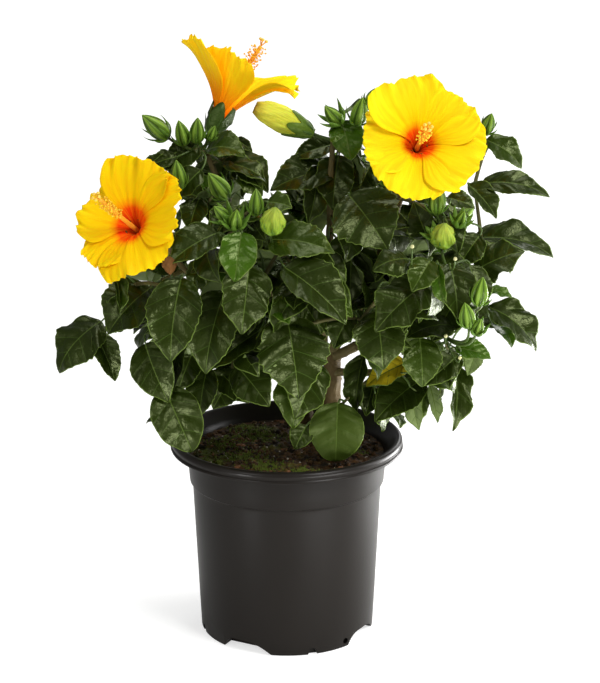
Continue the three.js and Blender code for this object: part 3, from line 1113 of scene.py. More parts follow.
class LeafWeave:
    """The rows and columns that every leaf is woven on: rows follow the side veins."""

    FIRST_ROW, FIRST_CLEAR, LAST_VEIN, VEIN_HALF = 0.004, 0.02, 0.992, 0.0035

    def __init__(self, veins: int, between: int, columns: tuple[float, ...]) -> None:
        """Lays out the rows.

        Args:
            veins: side veins in each half.
            between: rows of faces between two veins.
            columns: places of the columns from midrib to margin.
        """
        rows, strip = [(self.FIRST_ROW, 0.0, 0.0)], []
        starts = [(k / veins) ** 0.92 * 0.97 for k in range(1, veins)] + [self.LAST_VEIN]
        last = self.FIRST_CLEAR
        for start in starts:
            for j in range(1, between + 1):
                share = j / (between + 1)
                rows.append((last + (start - last) * share, self.saw(2 * share), share))
                strip.append(False)
            if start < self.LAST_VEIN:
                rows += [(start - self.VEIN_HALF, 1.0, 0.0), (start + self.VEIN_HALF, 0.9, 0.0)]
                strip += [False, True]
            last = start + self.VEIN_HALF
        rows.append((1.0, 0.0, 0.0))
        strip.append(False)
        self.rows, self.teeth, self.phase = (np.array(column) for column in zip(*rows))
        self.strip = np.array(strip)
        self.columns = np.array(columns)

    @staticmethod
    def saw(share: float) -> float:
        """How far the margin stands out at a share of one tooth's length, from -1 to 1."""
        inside = share % 1.0
        return 2 * inside**1.4 - 1 if inside > 0 else 1.0

    def slots(self, tone: Tone) -> np.ndarray:
        """Deals out the slots of a blade's faces.

        Args:
            tone: the slot of the blade's upper side.

        Returns:
            Rows along the leaf by faces round the blade.
        """
        inner = len(self.columns) + 1
        top = [Tone.EDGE, *[tone] * inner, Tone.RIB, *[tone] * inner, Tone.EDGE]
        under = [Tone.EDGE, *[Tone.UNDER] * inner, Tone.UNDER, *[Tone.UNDER] * inner, Tone.EDGE]
        table = np.tile(np.array([*top, *under], dtype=np.int64), (len(self.strip), 1))
        lit = self.strip[:, None] & (table == tone)
        return np.where(lit, Tone.VEIN, table)


FINE_WEAVE = LeafWeave(5, 5, (0.16, 0.36, 0.58, 0.80))
PLAIN_WEAVE = LeafWeave(5, 3, (0.25, 0.5, 0.76))

MARGIN_WIDE = 0.55 * MM
RIB_WIDE = 0.46 * MM
BLADE_THICK = 0.34 * MM
SPINE_STEPS = 80
RIPPLES = ((17, 9), (-11, 19), (29, 21), (-33, 13))


def leaf_grid(form: LeafForm, weave: LeafWeave, length: float, chance: float) -> np.ndarray:
    """One leaf as a closed grid from its foot along Y, its upper face towards Z.

    Args:
        form: its shape.
        weave: its rows and columns.
        length: along the midrib, in metres.
        chance: a number that sets where its waves lie.

    Returns:
        Rows along the leaf by points round the blade.
    """
    p = weave.rows[:, None]
    swell = np.sin(math.pi * p ** (0.76 + 0.14 * form.blunt)) ** (0.70 - 0.20 * form.blunt)
    swell = swell * (1 - 0.34 * (1 - form.blunt) * smooth_step((p - 0.62) / 0.36))
    uneven = 0.65 + 0.35 * np.sin(23 * p + 40 * chance)
    lobes = 0.055 * np.sin(15 * p + 30 * chance) * (1 - form.blunt)
    toothed = 1 + lobes + form.teeth * uneven * weave.teeth[:, None] * smooth_step((p - 0.16) / 0.2)
    half = 0.475 * form.wide * length * np.maximum(swell * toothed, 0.02)
    margin = np.minimum(MARGIN_WIDE, 0.25 * half)
    rib = np.minimum(RIB_WIDE * (1.25 - 0.8 * p), 0.2 * half)
    inner = weave.columns[None, :] * (half - margin - rib) + rib
    right = np.concatenate([rib, inner, half - margin], axis=1)
    top = np.concatenate([-half, -right[:, ::-1], right, half], axis=1)
    across = np.concatenate([top, right[:, ::-1], -right], axis=1)
    under = np.zeros_like(across)
    under[:, top.shape[1] :] = 1.0
    share = np.clip(np.abs(across) / half, 0, 1)
    start = p**1.8
    s = start + (p - start) * share**1.1
    bulge = np.sin(math.pi * weave.phase)[:, None] * 4 * share * (1 - share)
    groove = np.exp(-((share / 0.12) ** 2))
    z = length * (0.0150 * bulge * np.minimum(1, 4 * (1 - p)) - 0.012 * groove * (1 - p))
    plain = across / length
    for k, (fx, fy) in enumerate(RIPPLES):
        rise = np.sin(fx * plain + fy * s + 50 * chance + 2 * k)
        z = z + length * (0.0085 / (1 + 0.35 * k)) * rise * share**0.5
    side = np.sign(across)
    ripple = np.sin(2 * math.pi * (2.3 * p + chance) + 1.9 * side)
    z = z + form.wave * half * share**2 * ripple
    lift = form.fold + form.curl * share
    x = across * np.cos(lift)
    z = z + np.abs(across) * np.sin(lift) - under * BLADE_THICK
    roll = form.twist * (s - 0.3)
    x, z = x * np.cos(roll) - z * np.sin(roll), x * np.sin(roll) + z * np.cos(roll)
    fine = np.linspace(0, 1, SPINE_STEPS + 1)
    lean = form.bend * (fine - 0.5) + form.hook * fine**3
    along = np.concatenate([[0], np.cumsum(np.cos(lean[1:]))]) / SPINE_STEPS * length
    drop = np.concatenate([[0], np.cumsum(-np.sin(lean[1:]))]) / SPINE_STEPS * length
    tilt = np.interp(s, fine, lean)
    y = np.interp(s, fine, along) + z * np.sin(tilt)
    return np.stack([x, y, np.interp(s, fine, drop) + z * np.cos(tilt)], axis=-1)


def leaf_between(
    form: LeafForm, weave: LeafWeave, foot: np.ndarray, tip: np.ndarray, face: np.ndarray, chance: float
) -> np.ndarray:
    """A leaf in its place.

    Args:
        form: its shape.
        weave: its rows and columns.
        foot: where its blade starts.
        tip: where it ends.
        face: the direction that its upper side looks.
        chance: a number that sets where its waves lie.

    Returns:
        Its closed grid.
    """
    grid = leaf_grid(form, weave, float(np.linalg.norm(tip - foot)), chance)
    spine = grid.shape[1] // 4
    start, end = (grid[row, spine - 1 : spine + 1].mean(axis=0) for row in (0, -1))
    chord = (end - start) * np.array([0.0, 1.0, 1.0])
    local_y = unit(chord)
    local_z = np.cross(np.array([1.0, 0.0, 0.0]), local_y)
    along = unit(tip - foot)
    upper = unit(face - along * (face @ along))
    side = np.cross(along, upper)
    scale = float(np.linalg.norm(tip - foot)) / float(np.linalg.norm(chord))
    shifted = (grid - start) * scale
    lifted = (shifted @ local_z)[..., None] * upper
    return foot + (shifted[..., 0:1] * side + (shifted @ local_y)[..., None] * along + lifted)


@dataclass(frozen=True)
class Blade:
    """A leaf with a place of its own: foot and tip as shares of its mass's box."""

    foot: Triple
    tip: Triple
    face: Pair
    form: LeafForm


def blade(
    foot: Triple, tip: Triple, wide: float, face: Pair = (0, 30), tone: Tone = Tone.DEEP, **more: float
) -> Blade:
    """A placed leaf: its foot, tip, width, the way its upper face looks, and its form."""
    return Blade(foot, tip, face, LeafForm(wide=wide, tone=tone, **more))


@dataclass(frozen=True)
class Spray:
    """What grows in one mass of foliage: placed leaves in front, and more by the branching rule."""

    blades: tuple[Blade, ...]
    more: int
    size: Pair
    piece: str


MID, FRESH, YELLOW, UNDER, OLIVE = Tone.MID, Tone.FRESH, Tone.YELLOW, Tone.UNDER, Tone.OLIVE

BACK_MASSES: tuple[tuple[str, int, Pair], ...] = (
    ("left_low", 11, (44, 62)), ("left_mid", 11, (44, 62)), ("left_high", 11, (40, 58)),
    ("low", 11, (44, 64)), ("mid", 12, (46, 64)), ("high", 12, (42, 60)),
    ("right_low", 11, (44, 62)), ("right_mid", 12, (44, 64)), ("right_high", 12, (42, 60)),
)

# Each mass by its node's name without "leaves_".
SPRAYS: dict[str, Spray] = {
    "left_tip": Spray((
        blade((0.64, 0.45, 0.9), (0.04, 0.25, 0.14), 0.78, (-20, 50),
              bend=0.9, hook=0.5, fold=-0.1, wave=0.14),
        blade((0.56, 0.35, 0.76), (0.84, 0.25, 0.02), 0.66, (20, 20), fold=0.7, bend=0.5),
    ), 0, (30, 40), "left"),
    "left_shoulder": Spray((
        blade((0.86, 0.45, 0.54), (0.26, 0.15, 0.1), 1.0, (-10, 50), bend=0.6, wave=0.08),
        blade((0.38, 0.2, 0.72), (0.44, 0.0, 0.35), 0.62, (30, 30), MID, fold=0.9, bend=0.4),
    ), 2, (32, 46), "left"),
    "left_front": Spray((
        blade((0.64, 0.35, 0.96), (0.47, -0.05, 0.2), 0.66, (-8, 30), bend=0.8, fold=0.2, hook=0.4),
    ), 4, (36, 50), "left"),
    "left_hang": Spray((
        blade((0.32, 0.35, 0.4), (0.68, 0.05, 0.06), 0.72, (-15, 25), bend=0.6, teeth=0.02),
        blade((0.89, 0.7, 0.42), (0.72, 0.3, 0.06), 0.66, (-30, 15), fold=0.6),
        blade((0.98, 0.9, 0.26), (0.78, 0.8, 0.04), 0.8),
    ), 4, (32, 44), "left"),
    "left_low": Spray((
        blade((0.34, 0.45, 1.02), (0.88, 0.05, 0.09), 0.76, (-5, 35), bend=0.5, teeth=0.01, blunt=0.6),
    ), 1, (28, 38), "left"),
    "front_left": Spray((
        blade((0.5, 0.35, 1.0), (0.19, 0.0, 0.12), 0.66, (-12, 35), fold=0.3),
        blade((1.05, 0.5, 0.52), (0.24, 0.15, 0.13), 0.66, (20, 55), fold=0.55, wave=0.1, bend=0.3),
    ), 5, (34, 46), "centre"),
    "heart_left": Spray((
        blade((0.62, 0.35, 1.0), (0.45, 0.0, 0.12), 0.74, (5, 35), fold=0.2),
    ), 4, (30, 44), "centre"),
    "inner_low": Spray((
        blade((0.21, 0.3, 0.95), (0.15, 0.1, -0.06), 0.7, (-15, 30), bend=0.5),
        blade((0.46, 0.3, 1.0), (0.74, 0.05, 0.2), 0.8, (0, 35), bend=0.5, fold=0.1),
        blade((0.29, 0.7, 0.7), (0.56, 0.5, 0.05), 0.66),
        blade((0.5, 0.9, 0.95), (0.3, 0.8, 0.1), 0.7),
        blade((0.45, 0.7, 0.7), (0.25, 0.5, -0.1), 0.9, (0, 30), bend=0.4),
    ), 2, (30, 40), "centre"),
    "centre_front": Spray((
        blade((0.4, 0.35, 0.78), (0.55, 0.0, 0.26), 0.86, (5, 30),
              bend=0.6, teeth=0.1, fold=0.12, wave=0.16),
        blade((0.78, 0.75, 0.42), (0.49, 0.5, 0.04), 0.66, (15, 25), fold=0.2),
        blade((0.19, 0.3, 0.9), (0.42, 0.05, 0.77), 0.8, (0, 50), FRESH, bend=0.4),
    ), 5, (36, 50), "centre"),
    "over_soil": Spray((
        blade((0.44, 0.6, 1.06), (0.4, 0.1, 0.02), 0.96, (0, 30), OLIVE,
              bend=0.35, teeth=0.01, blunt=0.9, fold=0.05),
        blade((-0.13, 0.4, 0.66), (-0.34, 0.2, 0.24), 0.95, (0, 35), bend=0.5, teeth=0.01),
    ), 0, (30, 40), "centre"),
    "stem_side": Spray((
        blade((1.0, 0.45, 0.74), (0.36, 0.05, 0.18), 0.72, (-10, 50), bend=0.5, fold=0.15),
        blade((0.22, 0.65, 1.08), (0.15, 0.5, 0.14), 0.52, (-40, 20), fold=0.5, bend=0.4),
        blade((0.8, 0.58, 0.96), (0.25, 0.5, 0.6), 0.62, (0, 45), YELLOW, fold=0.2),
        blade((0.37, 0.85, 0.58), (0.26, 0.75, 0.05), 0.62),
    ), 5, (30, 42), "right"),
    "right_hang": Spray((
        blade((0.56, 0.35, 0.7), (0.52, 0.05, 0.13), 0.5, (30, 10), fold=0.6, bend=0.5),
        blade((0.68, 0.5, 0.66), (0.98, 0.5, 0.76), 0.7, (180, 10), MID),
        blade((-0.3, 0.0, 0.56), (-0.12, -0.1, 0.17), 0.5, (-20, 30), UNDER, fold=0.4, bend=0.3),
        blade((-0.02, 0.2, 0.54), (-0.16, 0.1, 0.18), 0.4, (30, 20), MID, fold=0.5, bend=0.3),
        blade((0.08, 0.1, 0.56), (0.23, 0.0, 0.22), 0.5, (10, 30), UNDER, curl=0.5, bend=0.3),
        blade((0.98, 0.2, 0.88), (0.78, 0.1, 0.64), 0.66, (0, 35), UNDER, bend=0.4),
    ), 2, (28, 40), "right"),
    "right_core": Spray((
        blade((0.86, 0.35, 0.88), (0.16, 0.05, 0.78), 0.7, (0, 60), bend=0.9, fold=0.1),
        blade((0.37, 0.2, 0.76), (0.41, 0.05, 0.16), 0.84, (5, 35), MID, bend=0.6),
        blade((0.95, 0.35, 0.5), (0.43, 0.1, 0.16), 0.66, (10, 30), fold=0.4),
        blade((0.9, 0.5, 0.56), (1.42, 0.4, 0.44), 0.72, (20, 50), FRESH),
        blade((0.94, 0.6, 1.18), (0.56, 0.4, 0.66), 0.84, (0, 40)),
    ), 6, (32, 44), "right"),
    "mid_right": Spray((
        blade((0.4, 0.35, 0.96), (0.52, 0.05, 0.14), 0.92, (0, 30), fold=0.1),
        blade((-0.12, 0.6, 0.88), (-0.44, 0.5, 0.36), 0.8, (-10, 35)),
    ), 4, (30, 44), "right"),
    "front_right": Spray((
        blade((0.57, 0.35, 0.98), (0.02, 0.15, 0.86), 0.9, (0, 50), bend=1.2, curl=-0.5),
        blade((0.84, 0.35, 0.66), (0.07, 0.0, 0.11), 0.76, (-12, 40), bend=0.6, fold=0.15, wave=0.2),
        blade((0.92, 0.3, 0.98), (0.62, 0.05, 0.62), 0.86, (10, 40), MID, bend=0.5),
    ), 5, (34, 46), "right"),
    "upper_right": Spray((
        blade((0.62, 0.35, 0.8), (0.72, 0.05, 0.1), 0.74, (20, 25), fold=0.35, bend=0.6),
        blade((0.41, 0.1, 0.86), (0.55, 0.0, 0.32), 0.5, (-40, 30), FRESH, fold=0.5),
        blade((0.95, 0.5, 0.75), (1.02, 0.3, 0.1), 0.8, (40, 30), bend=0.6),
    ), 6, (32, 46), "right"),
    "right_arch": Spray((
        blade((0.38, 0.4, 0.56), (0.98, 0.2, 0.0), 0.62, (5, 60), bend=1.0, hook=0.4),
        blade((0.38, 0.2, 0.82), (0.66, 0.1, 0.72), 0.62, (0, 60), FRESH, bend=0.4),
    ), 2, (30, 42), "right"),
    "right_wing": Spray((
        blade((0.18, 0.4, 0.32), (0.86, 0.3, 0.84), 0.86, (-5, 50), bend=0.5, fold=0.1, wave=0.2),
    ), 0, (32, 44), "right"),
    "high_wing": Spray((
        blade((0.18, 0.4, 0.55), (1.0, 0.3, 0.15), 0.5, (-10, 60), bend=0.95, fold=0.25),
    ), 1, (32, 44), "right"),
    "top_arch": Spray((
        blade((0.52, 0.45, 0.52), (1.0, 0.35, 0.22), 0.42, (0, 50), bend=1.0, fold=0.1),
        blade((0.42, 0.3, 0.54), (0.62, 0.2, -0.24), 0.7, (20, 40), bend=0.5, fold=0.5),
    ), 0, (32, 44), "right"),
    "top_right": Spray((
        blade((0.25, 0.45, 0.7), (0.87, 0.3, 0.24), 0.62, (0, 50), MID, bend=1.0, fold=0.2),
    ), 0, (26, 36), "right"),
    "under_bloom": Spray((
        blade((0.2, 0.45, 0.92), (0.72, 0.05, 0.2), 1.05, (-5, 40),
              bend=0.5, teeth=0.1, fold=0.08, wave=0.1),
    ), 6, (34, 46), "right"),
    "crest_right": Spray((
        blade((0.31, 0.45, 0.68), (0.47, 0.05, 0.28), 0.86, (5, 40), FRESH, bend=0.4, blunt=0.4),
    ), 8, (28, 44), "top"),
    "top_centre": Spray((
        blade((0.4, 0.3, 0.82), (0.26, 0.05, 0.12), 0.56, (20, 20), fold=0.4),
        blade((1.17, 0.3, 0.85), (0.92, 0.1, 0.4), 0.8),
        blade((0.63, 0.45, 1.06), (0.05, 0.35, 0.88), 0.6, (-10, 40), bend=0.5),
        blade((0.62, 0.35, 0.76), (-0.27, 0.1, 0.53), 0.74, (-10, 50), bend=0.5),
        blade((0.7, 0.3, 0.95), (0.62, 0.05, 0.3), 0.75, (-10, 30), bend=0.6),
    ), 9, (34, 50), "top"),
    "valley_left": Spray((
        blade((0.12, 0.3, 0.98), (0.64, 0.1, 0.9), 0.95, (0, 60), MID, bend=1.3, wave=0.08),
        blade((0.5, 0.6, 1.1), (0.74, 0.5, 0.9), 0.62, (20, 30)),
        blade((0.33, 0.3, 0.76), (0.94, 0.1, 0.46), 0.56, (0, 60), bend=0.9),
        blade((0.36, 0.5, 0.84), (0.96, 0.3, 0.26), 0.62, (10, 50), bend=1.2),
        blade((0.57, 0.2, 0.6), (0.88, 0.1, 0.24), 0.8, (0, 40), MID),
    ), 6, (28, 40), "top"),
    "crest_left": Spray((
        blade((0.52, 0.4, 0.38), (0.02, 0.3, 0.12), 0.56, (0, 50), bend=0.6),
        blade((0.82, 0.6, 0.52), (0.34, 0.5, 0.14), 0.76, (0, 40)),
    ), 3, (28, 40), "top"),
    "core_left": Spray((
        blade((0.5, 0.3, 1.01), (0.15, 0.2, 0.6), 0.85, (-20, 40)),
        blade((0.47, 0.3, 0.6), (0.32, 0.1, 0.16), 0.85, (-10, 35)),
        blade((0.62, 0.1, -0.26), (0.31, 0.0, -0.7), 0.8, (0, 30), MID, curl=-0.5, bend=0.9),
    ), 6, (30, 44), "top"),
    "round_left": Spray((
        blade((0.53, 0.45, 0.96), (0.03, 0.15, 0.34), 0.78, (-10, 50), bend=0.6, wave=0.08),
        blade((0.79, 0.3, 1.02), (0.72, -0.05, 0.02), 0.8, (0, 35), FRESH,
              bend=0.6, blunt=0.3, teeth=0.03),
    ), 5, (32, 44), "centre"),
    "bud_group": Spray((
        blade((0.72, 0.4, 0.8), (1.03, 0.3, 0.72), 0.95, (10, 45), MID),
        blade((0.35, 0.5, 0.7), (0.05, 0.3, 0.2), 0.8, (-20, 40)),
    ), 5, (28, 40), "centre"),
    "centre_high": Spray((
        blade((-0.08, 0.45, 0.66), (0.82, 0.05, 0.44), 0.7, (-5, 55), MID, bend=0.5, fold=0.1, teeth=0.08),
    ), 6, (34, 46), "centre"),
    "centre_shine": Spray((
        blade((0.06, 0.45, 0.86), (0.92, 0.05, 0.06), 0.72, (15, 50), bend=0.5, fold=0.4),
    ), 5, (34, 46), "centre"),
    "centre_deep": Spray((
        blade((0.78, 0.6, 1.0), (0.7, 0.4, -0.9), 0.84, (0, 25)),
        blade((0.1, 0.9, 0.6), (0.0, 0.7, -1.0), 0.8, (0, 25)),
        blade((-0.16, 0.6, -0.85), (0.74, 0.4, -2.05), 0.8, (10, 40), bend=0.5),
        blade((-0.7, 0.6, -0.7), (-0.05, 0.5, -1.85), 0.8, (0, 35)),
    ), 7, (34, 48), "centre"),
    "bud_right": Spray((
        blade((0.3, 0.4, 0.25), (0.06, 0.3, 0.82), 0.76, (-20, 30)),
        blade((0.59, 0.5, 0.84), (1.02, 0.4, 0.7), 0.76, (20, 40)),
        blade((0.55, 0.3, 0.6), (0.75, 0.1, 0.1), 0.7, (15, 35)),
        blade((1.13, 0.6, 0.26), (0.79, 0.5, -0.2), 0.8, (10, 40)),
    ), 6, (28, 42), "right"),
    "inner": Spray((), 42, (40, 60), "heart"),
    "inner_right": Spray((), 46, (40, 60), "heart"),
    **{f"back_{place}": Spray((), more, size, "back") for place, more, size in BACK_MASSES},
}


RULE_TONES = {Tone.DEEP: 0.62, Tone.MID: 0.30, Tone.FRESH: 0.08}
RULE_FORM: dict[str, Pair] = {
    "wide": (0.6, 0.85), "fold": (0.0, 0.45), "bend": (0.4, 1.1), "hook": (0.1, 0.6),
    "twist": (-0.4, 0.4), "teeth": (0.01, 0.06), "wave": (0.05, 0.16),
}


@dataclass
class Foliage:
    """Grows every spray on its twig, and joins the leaves into a few pieces."""

    perches: Perches
    seed: int = 11
    behind: float = 13.0
    proud: float = 4.0
    tries: int = 8
    rng: np.random.Generator = field(init=False)
    leaves: dict[str, Gathering] = field(default_factory=dict)
    twigs: Gathering = field(default_factory=Gathering)
    stalks: Gathering = field(default_factory=Gathering)

    def grow(self, node: str, spray: Spray) -> None:
        """Grows one mass: its twig, its placed leaves and the leaves of the branching rule.

        Args:
            node: the mass's node.
            spray: what grows in it.
        """
        self.rng = np.random.default_rng([self.seed, number_of(node)])
        low, high = (np.array(corner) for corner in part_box(node))
        centre, size = (low + high) / 2, high - low
        out = unit(centre * np.array([1.0, 1.0, 0.0]))
        heart = centre - out * 0.2 * size.min()
        feet = [share_of(node, each.foot) for each in spray.blades]
        if feet:
            heart = np.mean([heart, *feet], axis=0)
        twig = self.twig_to(heart)
        gathered = self.leaves.setdefault(spray.piece, Gathering())
        for each, foot in zip(spray.blades, feet):
            tip = share_of(node, each.tip)
            self.leaf(gathered, FINE_WEAVE, each.form, foot, tip, aimed(*each.face))
        looks = [aimed(*each.face) for each in spray.blades]
        behind = -unit(np.mean(looks, axis=0)) * self.behind * MM if looks else np.zeros(3)
        for k in range(spray.more):
            self.rule_leaf(gathered, twig, k, spray, (low + behind, high + behind), out)

    def twig_to(self, heart: np.ndarray) -> np.ndarray:
        """Grows a twig from the nearest limb into a mass.

        Args:
            heart: where it ends.

        Returns:
            Its points.
        """
        start = self.perches.nearest(heart)
        span = float(np.linalg.norm(heart - start))
        bend = (start + heart) / 2 + UP * 0.18 * span + self.rng.normal(0, 0.03, 3) * span
        count = max(6, int(span / (4 * MM)))
        path = curve_through(start, bend, heart, count)
        self.twigs.add(tube(path, np.linspace(1.7, 1.1, count) * MM, 8))
        self.perches.add(path)
        return path

    def rule_leaf(
        self, gathered: Gathering, twig: np.ndarray, k: int, spray: Spray, box: tuple, out: np.ndarray
    ) -> None:
        """Adds a leaf, a golden turn on from the one before it, kept inside its mass.

        Args:
            gathered: gets the leaf.
            twig: the points of the mass's twig.
            k: the leaf's number on that twig.
            spray: what grows in the mass.
            box: the lowest and highest corners that it keeps to.
            out: the way out of the crown.
        """
        low, high = box
        rng = self.rng
        share = 0.35 + 0.65 * (k + 0.5) / max(1, spray.more)
        base = twig[int(share * (len(twig) - 1))]
        turn = k * GOLDEN_TURN + rng.uniform(-0.3, 0.3)
        side = np.cross(out, UP)
        spread = side * math.cos(turn) + (UP * 0.8 + out * 0.5) * math.sin(turn)
        inside = low + (high - low) * rng.uniform(0.12, 0.88, 3)
        foot = base * 0.35 + inside * 0.65 - out * 6 * MM
        hang = UP * rng.uniform(-0.75, -0.15)
        aim = unit(out * rng.uniform(0.35, 0.9) + spread * 0.75 + hang)
        length = rng.uniform(*spray.size) * MM
        for _ in range(self.tries):
            tip = foot + aim * length
            if np.all(tip > low - self.proud * MM) and np.all(tip < high + self.proud * MM):
                break
            length *= 0.93
            foot = foot * 0.9 + (low + high) / 2 * 0.1
        face = unit(out * rng.uniform(0.5, 1.0) + UP * rng.uniform(0.4, 0.9) + rng.normal(0, 0.2, 3))
        tone = Tone(int(rng.choice(list(RULE_TONES), p=list(RULE_TONES.values()))))
        form = LeafForm(tone=tone, **{part: rng.uniform(*span) for part, span in RULE_FORM.items()})
        self.leaf(gathered, PLAIN_WEAVE, form, foot, tip, face)

    def leaf(
        self, gathered: Gathering, weave: LeafWeave, form: LeafForm,
        foot: np.ndarray, tip: np.ndarray, face: np.ndarray,
    ) -> None:
        """Adds a leaf and the stalk that joins it to the nearest perch.

        Args:
            gathered: gets the leaf.
            weave: its rows and columns.
            form: its shape.
            foot: where its blade starts.
            tip: where it ends.
            face: the direction that its upper side looks.
        """
        grid = leaf_between(form, weave, foot, tip, face, float(self.rng.uniform(0, 1)))
        gathered.add(grid, weave.slots(form.tone))
        self.stalk(foot, unit(tip - foot), 0.75)

    def stalk(self, foot: np.ndarray, direction: np.ndarray, radius: float) -> None:
        """Adds a green stalk from the nearest perch.

        Args:
            foot: where it ends.
            direction: the way that what it carries runs.
            radius: its radius there, in millimetres.
        """
        start = self.perches.nearest(foot - direction * 12 * MM)
        span = float(np.linalg.norm(foot - start))
        bend = foot - direction * 0.45 * span
        path = curve_through(start, bend, foot + direction * 1.0 * MM, 9)
        self.stalks.add(tube(path, np.linspace(1.25 * radius, radius, 9) * MM, 6))

    def build(self) -> None:
        """Grows every mass and makes the joined pieces."""
        for mass, spray in SPRAYS.items():
            self.grow(f"leaves_{mass}", spray)
        skins = [LEAF_FINISHES[tone].material() for tone in Tone]
        for name, gathered in self.leaves.items():
            nodes = [f"leaves_{mass}" for mass, spray in SPRAYS.items() if spray.piece == name]
            gathered.piece(f"leaves_{name}", skins, "leaves", *nodes)

    def build_wood(self) -> None:
        """Makes the joined twigs and stalks, once all that they carry has grown."""
        bark = BarkFinish("twig_bark", (0.13, 0.12, 0.035), (0.045, 0.045, 0.014))
        green = TissueFinish("stalk_green", (0.070, 0.115, 0.022), 0.4)
        self.twigs.piece("twigs", [bark.material()], "bark")
        self.stalks.piece("leaf_stalks", [green.material()], "leaves")


# ---- buds


@dataclass(frozen=True)
class Bud:
    """A flower bud: its place as a share of a mass's box, its aim, length and ripeness."""

    at: Triple
    aim: Pair
    long: float
    ripe: bool = False
    leafy: float = 0.0


BUDS: dict[str, tuple[Bud, ...]] = {
    "crest_left": (
        Bud((0.25, 0.35, 0.88), (300, 42), 30),
        Bud((0.59, 0.3, 0.78), (325, 70), 22),
        Bud((0.79, 0.35, 0.81), (15, 75), 22),
        Bud((0.98, 0.45, 0.76), (50, 60), 14),
    ),
    "core_left": (
        Bud((0.14, 0.2, 0.93), (340, 78), 25),
        Bud((0.78, 0.0, 0.82), (318, 48), 30),
    ),
    "bud_group": (
        Bud((0.16, 0.3, 0.62), (300, 45), 18, False, 0.5),
        Bud((0.33, 0.15, 0.55), (10, 60), 20, False, 0.5),
        Bud((0.58, 0.3, 0.79), (5, 78), 22),
        Bud((0.79, 0.0, 0.57), (20, 66), 24, True),
    ),
    "bud_right": (
        Bud((0.41, 0.1, 0.89), (355, 80), 27),
        Bud((0.5, -0.05, 0.39), (5, 60), 24, True),
        Bud((0.36, 0.0, 0.42), (330, 50), 13, False, 0.5),
        Bud((0.78, 0.1, 0.6), (30, 60), 16, False, 0.5),
    ),
    "upper_right": (
        Bud((1.07, 0.05, 0.47), (20, 72), 25),
        Bud((0.87, 0.0, 0.15), (335, 66), 24),
        Bud((1.05, 0.0, 0.0), (20, 60), 16, False, 0.3),
    ),
    "right_arch": (Bud((0.1, 0.2, 0.62), (20, 40), 15),),
    "top_right": (Bud((0.26, 0.3, 0.96), (25, 60), 21),),
    "crest_right": (
        Bud((0.17, 0.2, 0.76), (305, 45), 22, False, 0.45),
        Bud((0.59, 0.2, 0.8), (20, 62), 26),
        Bud((0.8, 0.2, 0.96), (45, 56), 20),
    ),
    "back_left_high": (Bud((0.4, 0.8, 1.0), (200, 60), 22),),
    "back_high": (
        Bud((0.5, 0.8, 1.0), (170, 60), 24),
        Bud((0.7, 0.7, 0.96), (150, 50), 20),
    ),
    "back_right_high": (Bud((0.6, 0.85, 1.0), (140, 60), 24),),
    "back_right_mid": (Bud((0.9, 0.6, 1.06), (110, 40), 22),),
}

YOUNG_TIPS: dict[str, tuple[Triple, ...]] = {
    "upper_right": ((-0.01, -0.05, 1.14), (0.66, -0.05, 0.97)),
    "right_core": ((0.93, -0.05, 0.56), (0.72, -0.05, 0.84)),
}


